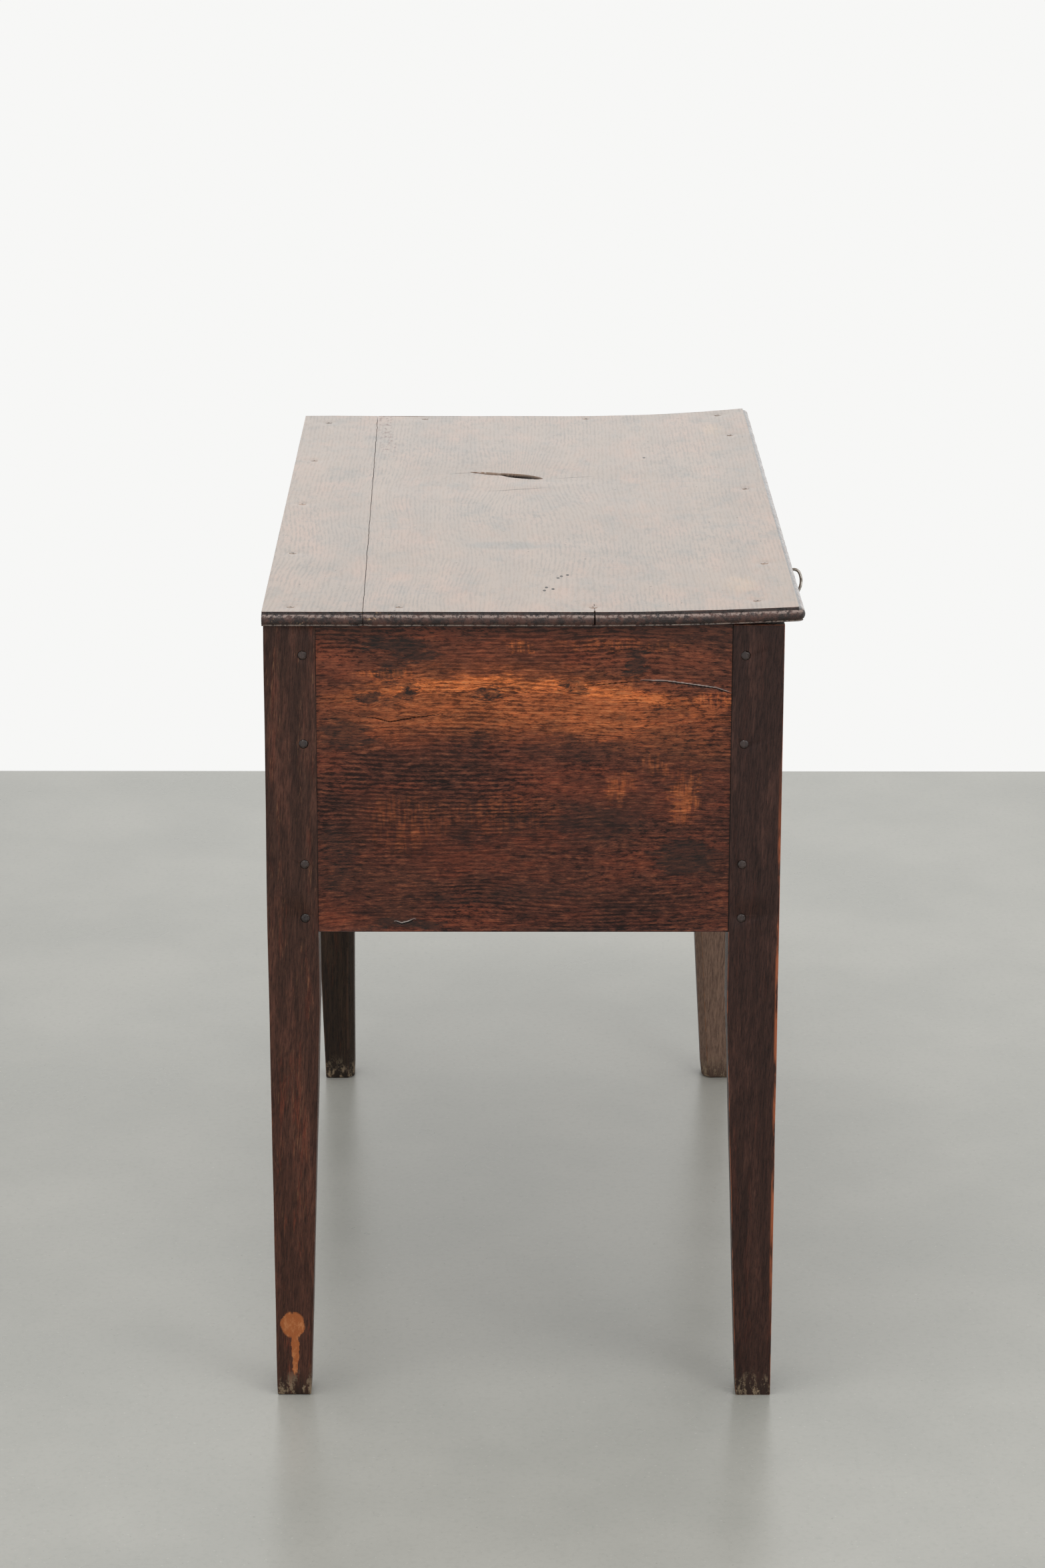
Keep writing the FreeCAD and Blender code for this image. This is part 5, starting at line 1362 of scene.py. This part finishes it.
def floor():
    """A pale floor with a faint cloudiness and fine grit."""
    bpy.ops.object.select_all(action="DESELECT")
    bpy.ops.mesh.primitive_plane_add(size=FLOOR_SIZE, location=(0, 0, 0))
    plane = bpy.context.active_object
    plane.name = "studio_floor"
    grey = Finish(bpy.data.materials.new("pale_floor"))
    spot = grey.place()
    clouds = grey.noise(spot, (3.0, 3.0, 3.0), 4.0, 0.6)
    fine = grey.noise(spot, (160.0, 160.0, 160.0), 3.0, 0.6)
    grit = grey.noise(spot, (300.0, 300.0, 300.0), 1.0, 0.5)
    tone = grey.mix(grey.fade(clouds, 0.3, 0.7), FLOOR_GREY, FLOOR_PALE)
    tone = grey.mix(grey.fade(fine, 0.45, 0.75) * 0.12, tone, FLOOR_DUST)
    tone = grey.mix(grey.fade(grit, 0.70, 0.76) * 0.35, tone, GRIT_PALE)
    tone = grey.mix(grey.fade(grit, 0.28, 0.22) * 0.35, tone, GRIT_DARK)
    plane.data.materials.append(grey.surface({
        "Base Color": tone, "Roughness": 0.22 + clouds * 0.14, "Specular IOR Level": 0.5,
        "Normal": grey.bump(fine, 0.1 * MM)}))


def surroundings():
    """Soft light from all round, and a pale backdrop for what is seen or mirrored."""
    world = bpy.data.worlds.new("studio")
    bpy.context.scene.world = world
    sky = Finish(world)
    seen, mirrored, through = sky.node("ShaderNodeLightPath", out=(0, 3, 6))
    shade = sky.mix(seen.larger(mirrored).larger(through), ROOM_LIGHT, BACKDROP)
    back = sky.node("ShaderNodeBackground", sockets={"Color": shade, "Strength": 1.0})
    sky.node("ShaderNodeOutputWorld", sockets={"Surface": back}, out=())


def lamp(name, place, towards, size, power):
    light = bpy.data.lights.new(name, "AREA")
    light.size = size
    light.energy = power
    holder = bpy.data.objects.new(name, light)
    bpy.context.scene.collection.objects.link(holder)
    aim = Vector(towards) - Vector(place)
    holder.matrix_world = (Matrix.Translation(place)
                           @ aim.to_track_quat("-Z", "Y").to_matrix().to_4x4())
    holder.visible_camera = False


def camera():
    lens = bpy.data.cameras.new("camera")
    lens.lens = LENS
    lens.sensor_width = FILM_WIDTH
    holder = bpy.data.objects.new("camera", lens)
    bpy.context.scene.collection.objects.link(holder)
    heading = Matrix.Rotation(math.radians(CAMERA_HEADING), 4, "Z")
    tilt = Matrix.Rotation(math.radians(90.0 - CAMERA_DOWN), 4, "X")
    roll = Matrix.Rotation(math.radians(CAMERA_ROLL), 4, "Z")
    holder.matrix_world = Matrix.Translation(CAMERA_PLACE) @ heading @ tilt @ roll
    bpy.context.scene.camera = holder


# ---------------------------------------------------------------- the table
camera()
floor()
surroundings()
for settings in LAMPS:
    lamp(*settings)
bpy.context.scene.view_settings.view_transform = "Standard"

FRAME_BROWN = ((0.052, 0.024, 0.018), (0.10, 0.042, 0.024))
LINING_BROWN = ((0.34, 0.235, 0.15), (0.20, 0.13, 0.08))
front_finish = dark_oak("front_frame_oak", "X", 3, *FRAME_BROWN)
upright_finish = dark_oak("upright_oak", "Z", 4, *FRAME_BROWN)
drawer_finish = dark_oak("drawer_front_oak", "X", 5, (0.075, 0.032, 0.021), (0.15, 0.058, 0.030))
bead_finish = dark_oak("bead_oak", "X", 6, (0.045, 0.022, 0.016), (0.08, 0.036, 0.022))
peg_finish = dark_oak("peg_oak", "Z", 7, (0.026, 0.014, 0.011), (0.060, 0.030, 0.021),
                      light=(0.16, 0.10, 0.075), gloss=0.4, wax=0.3)
back_finish = bare_oak("dry_back_oak", "X", 8, (0.15, 0.10, 0.068), (0.085, 0.053, 0.036))
inner_finish = bare_oak("inner_oak", "Y", 9, (0.27, 0.185, 0.12), (0.16, 0.105, 0.068))
lining_finish = bare_oak("drawer_lining_oak", "Y", 10, *LINING_BROWN)
lining_across = bare_oak("drawer_back_oak", "X", 11, *LINING_BROWN)
iron_finish = old_metal("forged_iron", (0.16, 0.145, 0.13), (0.045, 0.038, 0.034), 0.34, 0.25 * MM)
key_finish = old_metal("handled_iron", (0.62, 0.58, 0.53), (0.24, 0.205, 0.175), 0.24, 0.15 * MM)
lock_finish = old_metal("lock_iron", (0.30, 0.28, 0.25), (0.07, 0.06, 0.05), 0.4, 0.2 * MM)
brass_finish = old_metal("old_brass", (0.52, 0.36, 0.15), (0.20, 0.13, 0.06), 0.3, 0.15 * MM)

top_finish = top_oak()
top_boards(top_finish)

for side in ("left", "right"):
    side_finish = side_oak("side_oak_" + side, SIDE_SEEDS[side], SIDE_STAINS, SIDE_RUBBED,
                           SIDE_KNOTS)
    side_board("side_board_" + side, side_finish, SIDE_CRACKS)
    for row in ("front", "back"):
        seed, foot_round, *looks = LEGS[row, side]
        finish = leg_oak(f"leg_oak_{row}_{side}", seed, *looks, PALE_AND_LIT_INNER_LEG.get((row, side)))
        leg(f"leg_{row}_{side}", finish, foot_round)
    eased("bottom_rail_" + side, "root", front_finish, "front_oak")
    eased("upright_" + side, "root", upright_finish, "front_oak")
    for node in ("kneehole_cheek_", "long_runner_", "outer_runner_", "inner_runner_", "kicker_"):
        eased(node + side, "root", inner_finish, "inner_oak")

for node in ("top_rail", "middle_rail", "kneehole_apron"):
    eased(node, "root", front_finish, "front_oak")
for node in ("back_board_lower", "back_board_upper"):
    eased(node, "root", back_finish, "back_oak")
eased("drawer_stops", "root", inner_finish, "inner_oak", DRAWER_ARRIS)
top_pegs(top_finish)
frame_pegs(peg_finish)
eased("back_nails", "root", iron_finish, "old_iron")

for drawer in ("long_drawer", "left_drawer", "right_drawer"):
    eased(drawer + "_front", drawer, drawer_finish, "drawer_front_oak")
    eased(drawer + "_beads", drawer, bead_finish, "bead_oak", DRAWER_ARRIS)
    for part in ("_side_left", "_side_right"):
        eased(drawer + part, drawer, lining_finish, "drawer_lining_oak", DRAWER_ARRIS)
    for part in ("_back", "_bottom"):
        eased(drawer + part, drawer, lining_across, "drawer_lining_oak", DRAWER_ARRIS)

eased("lock_case", "long_drawer", lock_finish, "lock_iron", METAL_ARRIS)
eased("lock_screws", "long_drawer", lock_finish, "lock_iron", METAL_ARRIS)
eased("lock_bolt", "lock_bolt", lock_finish, "lock_iron", METAL_ARRIS)
eased("escutcheon", "long_drawer", brass_finish, "escutcheon_brass", METAL_ARRIS)
eased("key", "key", key_finish, "old_iron", METAL_ARRIS)
for side in ("left", "right"):
    for part in ("_rosette", "_staple"):
        eased(side + part, side + "_drawer", iron_finish, "pull_iron", METAL_ARRIS)
    eased(side + "_ring", side + "_ring", iron_finish, "pull_iron", METAL_ARRIS)
